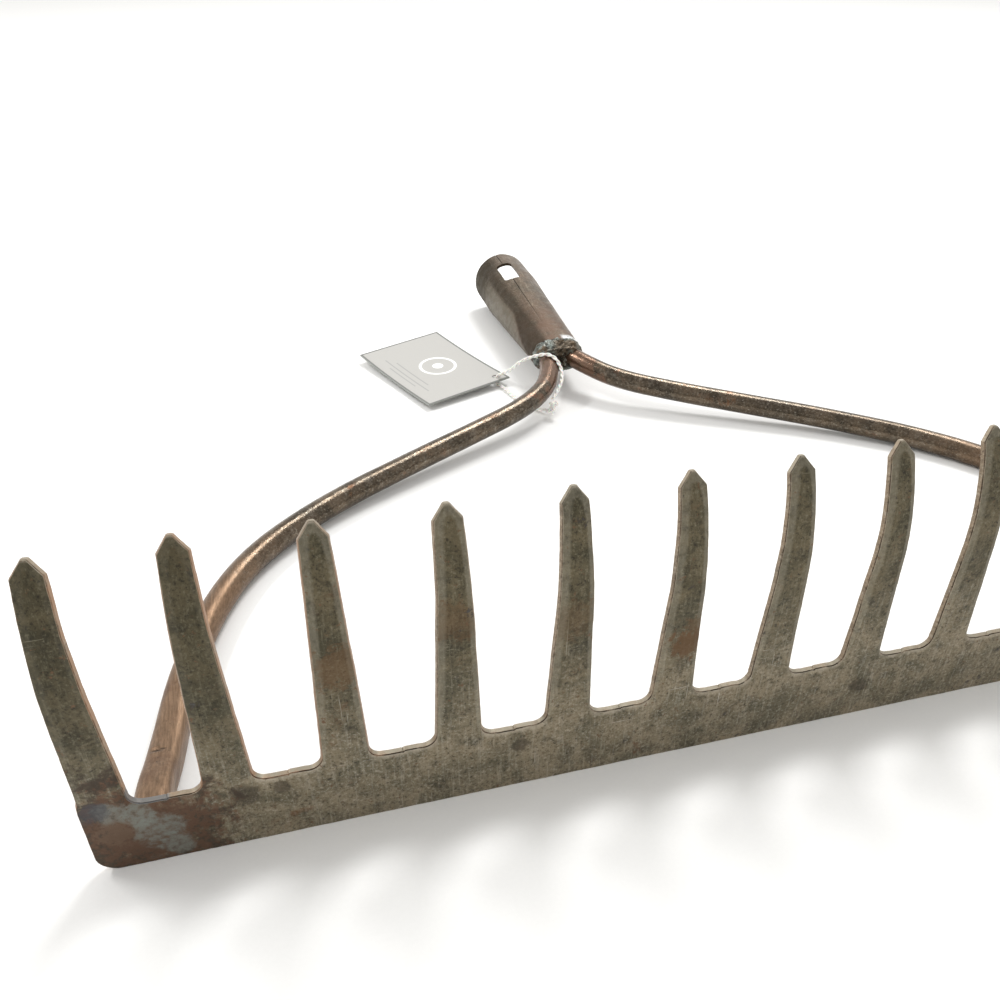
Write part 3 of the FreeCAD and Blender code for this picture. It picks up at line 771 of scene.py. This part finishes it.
def tine_fall(k, column, travel):
    """How far the front face of a tine falls back at a column."""
    deepest = END_BEVEL_DEPTH if k < 2 else BEVEL_DEPTH
    depth = GAP_BEVEL_DEPTH + (deepest - GAP_BEVEL_DEPTH) * smooth_step(
        travel, ROOT_LINE, ROOT_LINE + 16)
    over_arch = depth * smooth_step(travel, ARCH_TOP - 0.6, TIP_TRAVEL)
    return max(CHAMFER * (abs(column) == 2), depth * max(0.0, abs(column) - 1), over_arch)


def tine_rows():
    """Distances up a tine at which it gets a row of points above its root line."""
    shoulder = travel_of(TIP_HEIGHT - TIP_LENGTH)
    count = round((shoulder - ROOT_LINE) / ROW_STEP)
    rows = [ROOT_LINE + (shoulder - 0.3 - ROOT_LINE) * i / count for i in range(1, count + 1)]
    rows += [shoulder, shoulder + 0.3]
    return rows + [shoulder + 0.3 + (TIP_TRAVEL - shoulder - 0.3) * i / TIP_ROWS
                   for i in range(1, TIP_ROWS + 1)]


def bar_columns():
    """The bar's columns from left to right: x, top, height of the crease, tine, and tine column.

    tine is None in a gap. Round a gap's corner the crease runs at the bevel's width from the edge.
    """
    crease_radius = GAP_RADIUS + GAP_BEVEL
    half = half_width(ROOT_LINE)
    found = []

    def add(x, top, corner_x, k=None, column=0):
        crease = top - GAP_BEVEL
        if corner_x is not None and abs(x - corner_x) < crease_radius:
            crease = ROOT_LINE - math.sqrt(crease_radius ** 2 - (x - corner_x) ** 2)
        found.append((x, top, min(crease, top - 0.4), k, column))

    for k in range(TINE_COUNT):
        left_edge, right_edge = tine_x(k) - half, tine_x(k) + half
        for column in [-c for c in reversed(HALF_COLUMNS[1:])] + HALF_COLUMNS:
            x = tine_x(k) + place_across(column, ROOT_LINE) * half
            corner_x = None
            if column < 0 and k > 0:
                corner_x = left_edge - GAP_RADIUS
            if column > 0 and k < TINE_COUNT - 1:
                corner_x = right_edge + GAP_RADIUS
            add(x, ROOT_LINE, corner_x, k, column)
        if k == TINE_COUNT - 1:
            break
        next_edge = tine_x(k + 1) - half
        turns = [math.pi / 2 * i / FILLET_STEPS for i in range(1, FILLET_STEPS + 1)]
        for turn in turns:
            add(right_edge + GAP_RADIUS * (1 - math.cos(turn)),
                ROOT_LINE - GAP_RADIUS * math.sin(turn), right_edge + GAP_RADIUS)
        flat = next_edge - right_edge - 2 * GAP_RADIUS
        for share in GAP_FLAT_COLUMNS:
            step = 0.14 if share > 0.5 else -0.14
            nick = 0.18 if abs(share - 0.5) < 0.02 else 0.0
            add(right_edge + GAP_RADIUS + flat * share, ROOT_LINE - GAP_RADIUS + step - nick, None)
        for turn in reversed(turns):
            add(next_edge - GAP_RADIUS * (1 - math.cos(turn)),
                ROOT_LINE - GAP_RADIUS * math.sin(turn), next_edge - GAP_RADIUS)
    return found


def bar_bottom(x, end):
    """Height of the bar's lower edge, which is rounded at the bar's two ends."""
    inside = end - abs(x)
    if inside >= CORNER_RADIUS:
        return 0.0
    return CORNER_RADIUS - math.sqrt(CORNER_RADIUS ** 2 - (CORNER_RADIUS - inside) ** 2)


class Plate:
    """The tine bar's mesh while it is made, with each point's place in the flat plate."""

    def __init__(self):
        self.bm = bmesh.new()
        self.flat = {}
        self.marks = new_marks(self.bm, "bevel", "rim", "crack", "back")

    def point(self, x, y, travel, **marks):
        vertex = self.bm.verts.new((0, 0, 0))
        self.flat[vertex] = (x, y, travel)
        for name, amount in marks.items():
            vertex[self.marks[name]] = amount
        return vertex

    def on_face(self, x, travel, fall, front, on_rim, sheen):
        """A point that lies fall deep in the front or back face; the last argument is a front
        bevel's painted sheen.
        """
        y = fall if front else THICKNESS - fall
        return self.point(x, y, travel, rim=float(on_rim), bevel=float(front * sheen))

    def face(self, columns, rows, front):
        """One face of the plate: the bar's sheet of points, and each tine's rows above it."""
        end = columns[-1][0]
        sheet = []
        for i, (x, top, crease, k, column) in enumerate(columns):
            low = bar_bottom(x, end)
            inner = [low + 0.4 + (crease - low - 0.4) * j / (BAR_ROWS - 3)
                     for j in range(BAR_ROWS - 2)]
            line = []
            for j, travel in enumerate([low] + inner + [top]):
                at_top = j == BAR_ROWS - 1
                on_rim = j == 0 or i in (0, len(columns) - 1) or (at_top and k is None)
                fall = CHAMFER if on_rim else 0.0
                if front and at_top:
                    fall = GAP_BEVEL_DEPTH if k is None else tine_fall(k, column, ROOT_LINE)
                line.append(self.on_face(x, travel, fall, front, on_rim, fall > CHAMFER))
            sheet.append(line)
        join_rings(self.bm, sheet, round_ring=False)
        tines = []
        for k in range(TINE_COUNT):
            members = [i for i, column in enumerate(columns) if column[3] == k]
            lines = [[sheet[i][-1] for i in members]]
            for travel in rows:
                line = []
                for i in members:
                    column = columns[i][4]
                    on_rim = abs(column) == 2 or travel == rows[-1]
                    fall = tine_fall(k, column, travel) if front else 0.0
                    fall = max(fall, CHAMFER) if on_rim else fall
                    x = tine_x(k) + place_across(column, travel) * half_width(travel)
                    sheen = (END_BEVEL_SHINE if k < 2 else 1.0) * (fall > 0.02)
                    line.append(self.on_face(x, travel, fall, front, on_rim, sheen))
                lines.append(line)
            join_rings(self.bm, lines, round_ring=False)
            tines.append(lines)
        return sheet, tines

    def rim(self, columns, sheet, tines):
        """The vertices of a face's outline in order, anticlockwise seen from the front."""
        found = [line[0] for line in sheet]
        found += sheet[-1][1:-1]
        for k in reversed(range(TINE_COUNT)):
            lines = tines[k]
            found += [line[-1] for line in lines]
            found += list(reversed(lines[-1][1:-1]))
            found += [line[0] for line in reversed(lines)]
            if k:
                gap = [i for i, column in enumerate(columns)
                       if column[3] is None and tine_x(k - 1) < column[0] < tine_x(k)]
                found += [sheet[i][-1] for i in reversed(gap)]
        return found + list(reversed(sheet[0][1:-1]))


def make_tine_bar(face_material, edge_material):
    plate = Plate()
    columns, rows = bar_columns(), tine_rows()
    front_rim = plate.rim(columns, *plate.face(columns, rows, True))
    back_rim = plate.rim(columns, *plate.face(columns, rows, False))
    count = len(front_rim)
    places = [plate.flat[vertex] for vertex in front_rim]
    rings = []
    for i, (front, back) in enumerate(zip(front_rim, back_rim)):
        x, first_y, travel = places[i]
        before, after = places[i - 1], places[(i + 1) % count]
        way = Vector((after[0] - before[0], after[2] - before[2])).normalized()
        spread = smooth_step(travel, 3, 9)
        last_y = plate.flat[back][1]
        ring = [front]
        for share, out, crack in EDGE_OUTLINE:
            ring.append(plate.point(x + way.y * out * spread, first_y + (last_y - first_y) * share,
                                    travel - way.x * out * spread, crack=crack))
        plate.flat[back] = (x + way.y * BACK_FLARE * spread, last_y,
                            travel - way.x * BACK_FLARE * spread)
        back[plate.marks["back"]] = 1.0
        rings.append(ring + [back])
    join_rings(plate.bm, rings, round_ring=False, loop_of_rings=True, material_index=1)
    for vertex, place in plate.flat.items():
        vertex.co = plate_point(*place)
    piece("stamped_tine_bar", plate.bm, 12, [face_material, edge_material], "tine_bar")


# ---- the two arms

LEFT_CORNERS = [
    (-190.8, 31.0, 5.6), (-187.0, 66.0, 5.1), (-176.0, 103.0, 5.1), (-159.5, 129.5, 5.1),
    (-130.0, 154.0, 5.8), (-95.0, 173.5, 7.3), (-60.0, 191.5, 9.1), (-34.0, 205.0, 10.7),
    (-17.5, 219.0, 12.4), (-9.4, 235.0, 14.4),
]
RIGHT_CORNERS = [
    (190.8, 31.0, 5.6), (185.5, 64.0, 5.1), (171.0, 103.0, 5.1), (148.0, 137.5, 5.1),
    (112.0, 166.0, 6.5), (78.0, 186.5, 8.6), (46.0, 205.0, 10.9), (22.0, 221.5, 12.8),
    (9.0, 239.0, 15.4),
]
ARM_RADIUS = 0.005
ARM_END = (192.5, 11.0)
NECK = 250.0
SOCKET_OFFSET = -1.5
SOCKET_HEIGHT = 16.5
ARM_OFFSET = 5.4
ARM_TAIL = 35.0
ARM_SIDES = 56
ARM_STEP = 0.0007
ARM_UNEVENNESS = 0.012
NICK_DEPTH = 0.7
STRAP_LENGTH = 0.075
NICK_PLACE = (-192.3, 29.2, 8.0)


def make_arm(name, side, corners, material, node):
    """One arm: a drawn rod, hammered a little flat towards the bar and slightly uneven."""
    tail_x = SOCKET_OFFSET + side * ARM_OFFSET
    route = [(side * ARM_END[0], THICKNESS, ARM_END[1]),
             (side * ARM_END[0], THICKNESS + 10, ARM_END[1])]
    route += corners
    route += [(tail_x, NECK, SOCKET_HEIGHT), (tail_x, NECK + ARM_TAIL, SOCKET_HEIGHT)]
    line = route_points(name, [in_frame(*corner) for corner in route], 40)
    line = evenly_spaced(line, ARM_STEP)
    step = (line[1] - line[0]).length

    def section(i):
        flat = 1 - smooth_step(i * step, 0.3 * STRAP_LENGTH, STRAP_LENGTH)
        power = 1 - 0.42 * flat
        pairs = []
        for across, up in circle(1.0, ARM_SIDES):
            across = math.copysign(abs(across) ** power, across)
            up = math.copysign(abs(up) ** power, up) * (1 - 0.10 * flat)
            uneven = noise.noise(Vector((i * step * 60, across * 2, up * 2 + side * 9)))
            radius = ARM_RADIUS * (1 + ARM_UNEVENNESS * uneven)
            pairs.append((across * radius, up * radius))
        return pairs

    bm = bmesh.new()
    pit_shade = new_marks(bm, "pit_shade")["pit_shade"]
    swept_tube(bm, line, section)
    if side < 0:
        nick = in_frame(*NICK_PLACE)
        for vertex in bm.verts:
            across, along = (vertex.co.x - nick.x) / MM, (vertex.co.y - nick.y) / MM
            depth = max(0.0, 1 - abs(along - 0.10 * across * across) / 0.75) * (
                1 - smooth_step(abs(across), 1.0, 2.4))
            if vertex.co.z > nick.z:
                vertex.co.z -= NICK_DEPTH * MM * depth
                # How much painted shade the deepest part of the nick gets.
                vertex[pit_shade] = smooth_step(depth, 0.25, 0.8)
    piece(name, bm, 40, [material], node)


# ---- the socket

MOUTH = 366.0
MOUTH_STRAIGHT = 30.0
MOUTH_RADIUS = 16.5
SOCKET_WALL = 1.6
NECK_HALF_FLAT = 7.4
NECK_HALF_HEIGHT = 8.0
NECK_SIDE_RADIUS = 8.4
NECK_CROWN_RADIUS = 40.0
SLOT_WIDTH = 9.2
SLOT_LENGTH = 23.0
SLOT_SETBACK = 17.0
SLOT_FAR = MOUTH - SLOT_SETBACK
SLOT_NEAR = SLOT_FAR - SLOT_LENGTH
SLOT_CORNER = 3.0
SLOT_CORNER_STEPS = 6
SEAM_TURN = math.radians(-12)
SEAM_PLACE = math.pi / 2 - SEAM_TURN       # as a turn from +X towards +Z
SEAM_WIDTH = 0.20
SEAM_DEPTH = 0.40


def by_socket(x, y, z):
    """A point whose x and z are given from the socket's axis."""
    return in_frame(SOCKET_OFFSET + x, y, SOCKET_HEIGHT + z)


def oval(turn, inset, half_flat=NECK_HALF_FLAT, half_height=NECK_HALF_HEIGHT,
         side_radius=NECK_SIDE_RADIUS, crown_radius=NECK_CROWN_RADIUS):
    """A point of the oval neck's outline; each quarter turn follows one of its four arcs."""
    quarter = math.pi / 2
    number = math.floor((turn + quarter / 2) / quarter)
    share = (turn - number * quarter) / (quarter / 2)
    if number % 2:
        centre = math.sqrt(crown_radius ** 2 - half_flat ** 2) - half_height
        swing = share * math.asin(half_flat / crown_radius)
        reach = crown_radius - inset
        x, z = -reach * math.sin(swing), reach * math.cos(swing) - centre
    else:
        centre = half_flat - math.sqrt(side_radius ** 2 - half_height ** 2)
        swing = share * math.asin(half_height / side_radius)
        reach = side_radius - inset
        x, z = centre + reach * math.cos(swing), reach * math.sin(swing)
    if number % 4 in (2, 3):
        x, z = -x, -z
    return x, z


def socket_outline(turn, y, inset):
    """A point of the socket's wall: oval at the neck, round from the mouth's shoulder on."""
    share = min(1.0, (y - NECK) / (MOUTH - MOUTH_STRAIGHT - NECK))
    oval_x, oval_z = oval(turn, inset)
    radius = MOUTH_RADIUS - inset
    x = oval_x + (radius * math.cos(turn) - oval_x) * share
    z = oval_z + (radius * math.sin(turn) - oval_z) * share
    return x, z


def socket_turns():
    """Turns round the socket, closer together at its seam."""
    turns = {2 * math.pi * k / 120 for k in range(120)}
    turns |= {SEAM_PLACE + math.radians(step) for step in (-1.5, -0.7, -0.3, 0, 0.3, 0.7, 1.5)}
    turns = sorted(turns)
    return [t for t, after in zip(turns, turns[1:] + [9.0]) if after - t > math.radians(0.25)]


def mark_socket(vertex, marks, turn, along, closeness):
    """Mark where the outside is worn bare, where it is dark beside that, and its seam and rim.

    turn is in degrees from +X towards +Z, and along runs from 0 at the neck to 1 at the mouth.
    """
    bare_from = 152 + 45 * (1 - smooth_step(along, 0.0, 0.38))
    vertex[marks["seam"]] = closeness
    by_mouth = smooth_step(along, 0.62, 0.88)
    vertex[marks["bare"]] = window(turn, bare_from - 5, bare_from + 4, 275, 300) * (
        1 - 0.8 * by_mouth)
    beside = window(turn, 112, 134, bare_from - 8, bare_from + 2)
    left_half = window(turn, 100, 130, 235, 275)
    vertex[marks["shade"]] = max(0.85 * beside, by_mouth * left_half)
    at_neck = 1 - smooth_step(along, 0.020, 0.045)
    vertex[marks["silver"]] = at_neck * window(turn, 12, 30, 62, 78)


def socket_stations():
    """Rings of the socket's wall, out along it and back inside: y, depth in the wall."""
    wave = [y for y in [NECK + 0.4 + 1.6 * k for k in range(72)] if y < MOUTH - 0.5]
    stations = [(NECK, 0.35)] + [(y, 0.0) for y in wave] + [(MOUTH - 0.35, 0.04)]
    stations += [(MOUTH, 0.45), (MOUTH, SOCKET_WALL - 0.45)]
    return stations + [(y, SOCKET_WALL) for y in reversed([NECK] + wave + [MOUTH - 0.35])]


def socket_tube():
    """The rolled wall with its seam pressed in as a groove, dents, and a worn, uneven mouth."""
    bm = bmesh.new()
    marks = new_marks(bm, "seam", "bare", "shade", "silver")
    rings = []
    for y, inset in socket_stations():
        outside = inset < 0.5
        ring = []
        for turn in socket_turns():
            x, z = socket_outline(turn, y, inset)
            away = (turn - SEAM_PLACE) * MOUTH_RADIUS
            fade = 1.0 if y > SLOT_NEAR + 1 else smooth_step(y, NECK + 12, SLOT_NEAR) ** 0.8
            closeness = math.exp(-(away / SEAM_WIDTH) ** 2) * fade
            dent = noise.noise(Vector((x * 0.12, y * 0.05, z * 0.12))) * 0.16
            sink = (SEAM_DEPTH * closeness if outside else 0.0) + dent
            spot = Vector((x, 0, z)) - Vector((x, 0, z)).normalized() * sink
            waver = noise.noise(Vector((x * 0.15, 3.0, z * 0.15))) * 0.35 if y > MOUTH - 1 else 0
            made = bm.verts.new(in_frame(SOCKET_OFFSET + spot.x, min(MOUTH, y + waver),
                                         max(FLOOR_GAP, SOCKET_HEIGHT + spot.z)))
            if outside:
                along = (y - NECK) / (MOUTH - NECK)
                mark_socket(made, marks, math.degrees(turn), along, closeness)
            ring.append(made)
        rings.append(ring)
    join_rings(bm, rings, loop_of_rings=True)
    return placed("socket_blank", finished_mesh("socket_blank", bm, 40))


def slot_cutter():
    """The block that cuts the fixing slot, turned with the seam."""
    bm = bmesh.new()
    half = SLOT_WIDTH / 2
    corners = ((half, SLOT_FAR, SLOT_CORNER), (-half, SLOT_FAR, SLOT_CORNER),
               (-half, SLOT_NEAR, 2.2), (half, SLOT_NEAR, 0.7))
    outline = []
    for number, (corner_x, corner_y, radius) in enumerate(corners):
        centre_x = corner_x - math.copysign(radius, corner_x)
        centre_y = corner_y + (radius if corner_y == SLOT_NEAR else -radius)
        for step in range(SLOT_CORNER_STEPS + 1):
            turn = math.pi / 2 * (number + step / SLOT_CORNER_STEPS)
            outline.append((centre_x + radius * math.cos(turn), centre_y + radius * math.sin(turn)))
    tilt = Matrix.Rotation(SEAM_TURN, 3, "Y")
    levels = []
    for level in (4.0, 26.0):
        spots = [(tilt @ Vector((x, 0, level)), y) for x, y in outline]
        levels.append([bm.verts.new(by_socket(spot.x, y, spot.z)) for spot, y in spots])
    join_rings(bm, levels)
    bm.faces.new(levels[0])
    bm.faces.new(levels[1])
    return placed("slot_cutter", finished_mesh("slot_cutter", bm))


def make_socket(material):
    """The rolled socket with its fixing slot cut out."""
    tube = socket_tube()
    cutter = slot_cutter()
    cut = tube.modifiers.new("slot", "BOOLEAN")
    cut.operation = "DIFFERENCE"
    cut.object = cutter
    cut.solver = "EXACT"
    bpy.context.view_layer.update()
    whole = tube.evaluated_get(bpy.context.evaluated_depsgraph_get())
    bm = bmesh.new()
    bm.from_mesh(bpy.data.meshes.new_from_object(whole))
    bpy.data.objects.remove(tube)
    bpy.data.objects.remove(cutter)
    piece("rolled_socket", bm, 34, [material], "handle_socket")


# ---- the welds

def bead_height(around, along, seed):
    """Height of the ripples and lumps of a weld bead, in millimetres."""
    ripple = 0.28 * abs(math.sin(around * 0.95 + 0.6 * math.sin(along)))
    lumps = noise.noise(Vector((around * 0.33, along * 0.5, seed))) * 0.75
    fine = noise.noise(Vector((around * 1.3, along * 1.3, seed + 5))) * 0.30
    return ripple + lumps + fine


NECK_WELD_SIDES = 150
NECK_WELD_STEPS = 26
NECK_WELD_END = (7.0, 6.0, 6.4)            # half flat, half height and side radius of its end
NECK_WELD_SHRINKS = (0.94, 0.86, 0.78, 0.70, 0.62, 0.54, 0.46, 0.38, 0.30, 0.22, 0.14, 0.07)


def make_neck_weld(material):
    """The weld that closes the socket's neck: a rippled band, lumps, and pits between the arms."""
    bm = bmesh.new()
    marks = new_marks(bm, "pit_shade", "scale")
    turns = [2 * math.pi * k / NECK_WELD_SIDES for k in range(NECK_WELD_SIDES)]
    back, front = NECK + 1.6, NECK - 7.0
    rings = []
    for i in range(NECK_WELD_STEPS + 1):
        share = i / NECK_WELD_STEPS
        y = back + (front - back) * share
        swell = 1.15 * math.sin(math.pi * min(1.0, share * 1.1)) ** 0.8
        ring = []
        for turn in turns:
            x, z = oval(turn, 0.2)
            tip_x, tip_z = oval(turn, 0.0, *NECK_WELD_END)
            x, z = x + (tip_x - x) * share, z + (tip_z - z) * share
            outward = Vector((x, 0, z)).normalized()
            around = turn * 11
            craggy = window(math.degrees(turn), 20, 45, 95, 120)
            crags = noise.fractal(Vector((around * 0.5, y * 0.6, 9.0)), 1.0, 2.2, 4)
            lump = (bead_height(around, y, 3.0) + 1.3 * craggy * crags) * (
                0.4 + 0.6 * math.sin(math.pi * share))
            spot = Vector((x, 0, z)) + outward * (swell + lump - 0.35)
            made = bm.verts.new(by_socket(spot.x, y, spot.z))
            made[marks["scale"]] = craggy * smooth_step(share, 0.25, 0.5)
            # How much painted shade the hollows between the crags get.
            made[marks["pit_shade"]] = craggy * smooth_step(-crags, 0.1, 0.7)
            ring.append(made)
        rings.append(ring)
    for shrink in NECK_WELD_SHRINKS:
        ring = []
        for turn in turns:
            x, z = oval(turn, 0.0, *NECK_WELD_END)
            x, z = x * shrink, z * shrink
            between = math.exp(-(x / 3.4) ** 2)
            inward = smooth_step(1 - shrink, 0.0, 0.30)
            crags = noise.fractal(Vector((x, 2.0, z)) * 0.55, 1.0, 2.2, 4) * 1.5
            made = bm.verts.new(by_socket(x, front + (0.9 * between + crags) * inward, z))
            # How much painted shade the hollows of the end get.
            made[marks["pit_shade"]] = smooth_step(crags, 0.1, 0.9) * between * inward
            made[marks["scale"]] = inward * between
            ring.append(made)
        rings.append(ring)
    join_rings(bm, rings)
    bm.faces.new(rings[-1])
    bm.faces.new(rings[0])
    piece("neck_weld_bead", bm, 60, [material], "neck_weld")


# From the bar's face up to the arm: radius, and rise off the bar's back.
BAR_WELD_PROFILE = [(8.5, -0.2), (8.5, 0.3), (8.0, 1.0), (7.4, 1.9), (6.7, 2.7), (6.1, 3.4),
                    (5.6, 4.0), (5.2, 4.4), (4.6, 4.2), (4.4, -0.2)]
BAR_WELD_SIDES = 110


def make_bar_weld(name, side, material, node):
    """The fillet of weld round an arm's end on the bar's back face."""
    bm = bmesh.new()
    new_marks(bm, "pit_shade", "scale")
    centre_x, centre_z = side * ARM_END[0], ARM_END[1]
    rings = []
    for number, (radius, rise) in enumerate(BAR_WELD_PROFILE):
        ring = []
        for k in range(BAR_WELD_SIDES):
            turn = 2 * math.pi * k / BAR_WELD_SIDES
            inner = 0 < number < len(BAR_WELD_PROFILE) - 2
            lump = 0.55 * bead_height(turn * 9, rise, 7.0 + side) if inner else 0.0
            reach = min(radius + lump * 0.8, 8.6 if number else 8.5)
            ring.append(bm.verts.new(in_frame(centre_x + reach * math.cos(turn),
                                              THICKNESS + rise + lump * 0.4,
                                              centre_z + reach * math.sin(turn))))
        rings.append(ring)
    join_rings(bm, rings, loop_of_rings=True)
    piece(name, bm, 60, [material], node)


rod_material = rod_steel()
weld_material = weld_steel()
make_tine_bar(bar_face_steel(), bar_edge_steel())
make_arm("left_arm_rod", -1, LEFT_CORNERS, rod_material, "left_bow_arm")
make_arm("right_arm_rod", 1, RIGHT_CORNERS, rod_material, "right_bow_arm")
make_socket(socket_steel())
make_neck_weld(weld_material)
make_bar_weld("left_weld_bead", -1, weld_material, "left_bar_weld")
make_bar_weld("right_weld_bead", 1, weld_material, "right_bar_weld")
hang_tag.data.materials.clear()
hang_tag.data.materials.append(tag_card())


# ---- floor, light and world

FLOOR_HALF = 6.0


def make_floor():
    s = Shader("floor_paper")
    grain = s.noise(900, 3)
    s.base(grain, (0.90, 0.897, 0.885), (0.94, 0.937, 0.925))
    mesh = bpy.data.meshes.new("floor")
    corners = [(x * FLOOR_HALF, y * FLOOR_HALF, 0) for x, y in ((-1, -1), (1, -1), (1, 1), (-1, 1))]
    mesh.from_pydata(corners, [], [(0, 1, 2, 3)])
    mesh.materials.append(s.finish(0.85, s.bump(grain, 0.00004, 0.3)))
    placed("floor", mesh)


def area_light(name, place, aim, width, height, power):
    data = bpy.data.lights.new(name, "AREA")
    data.shape = "RECTANGLE"
    data.size = width
    data.size_y = height
    data.energy = power
    light = placed(name, data)
    light.location = place
    way = Vector(aim) - Vector(place)
    light.rotation_mode = "QUATERNION"
    light.rotation_quaternion = way.to_track_quat("-Z", "Y")


def make_world():
    """A pale studio: brighter behind the head than in front of it, and less bright overhead."""
    world = bpy.data.worlds.new("studio")
    bpy.context.scene.world = world
    world.use_nodes = True
    nodes, links = world.node_tree.nodes, world.node_tree.links
    split = nodes.new("ShaderNodeSeparateXYZ")
    links.new(nodes.new("ShaderNodeTexCoord").outputs["Generated"], split.inputs["Vector"])
    strength = nodes.new("ShaderNodeMath")
    strength.operation = "MULTIPLY"
    slopes = (("Y", -0.6, 0.5, 0.86, 1.15), ("Z", 0.35, 1.0, 1.0, 0.70))
    for socket, (axis, *limits) in zip(strength.inputs, slopes):
        slope = nodes.new("ShaderNodeMapRange")
        links.new(split.outputs[axis], slope.inputs["Value"])
        links.new(set_range(slope, *limits), socket)
    background = nodes["Background"]
    links.new(strength.outputs["Value"], background.inputs["Strength"])
    background.inputs["Color"].default_value = (1.0, 0.995, 0.98, 1)


make_floor()
make_world()
area_light("key", (0.75, 1.05, 1.8), (0, -0.05, 0), 0.8, 0.6, 27)
area_light("fill", (-1.2, 0.6, 1.4), (0, 0, 0), 0.6, 0.22, 10)
bpy.context.scene.view_settings.view_transform = "Standard"
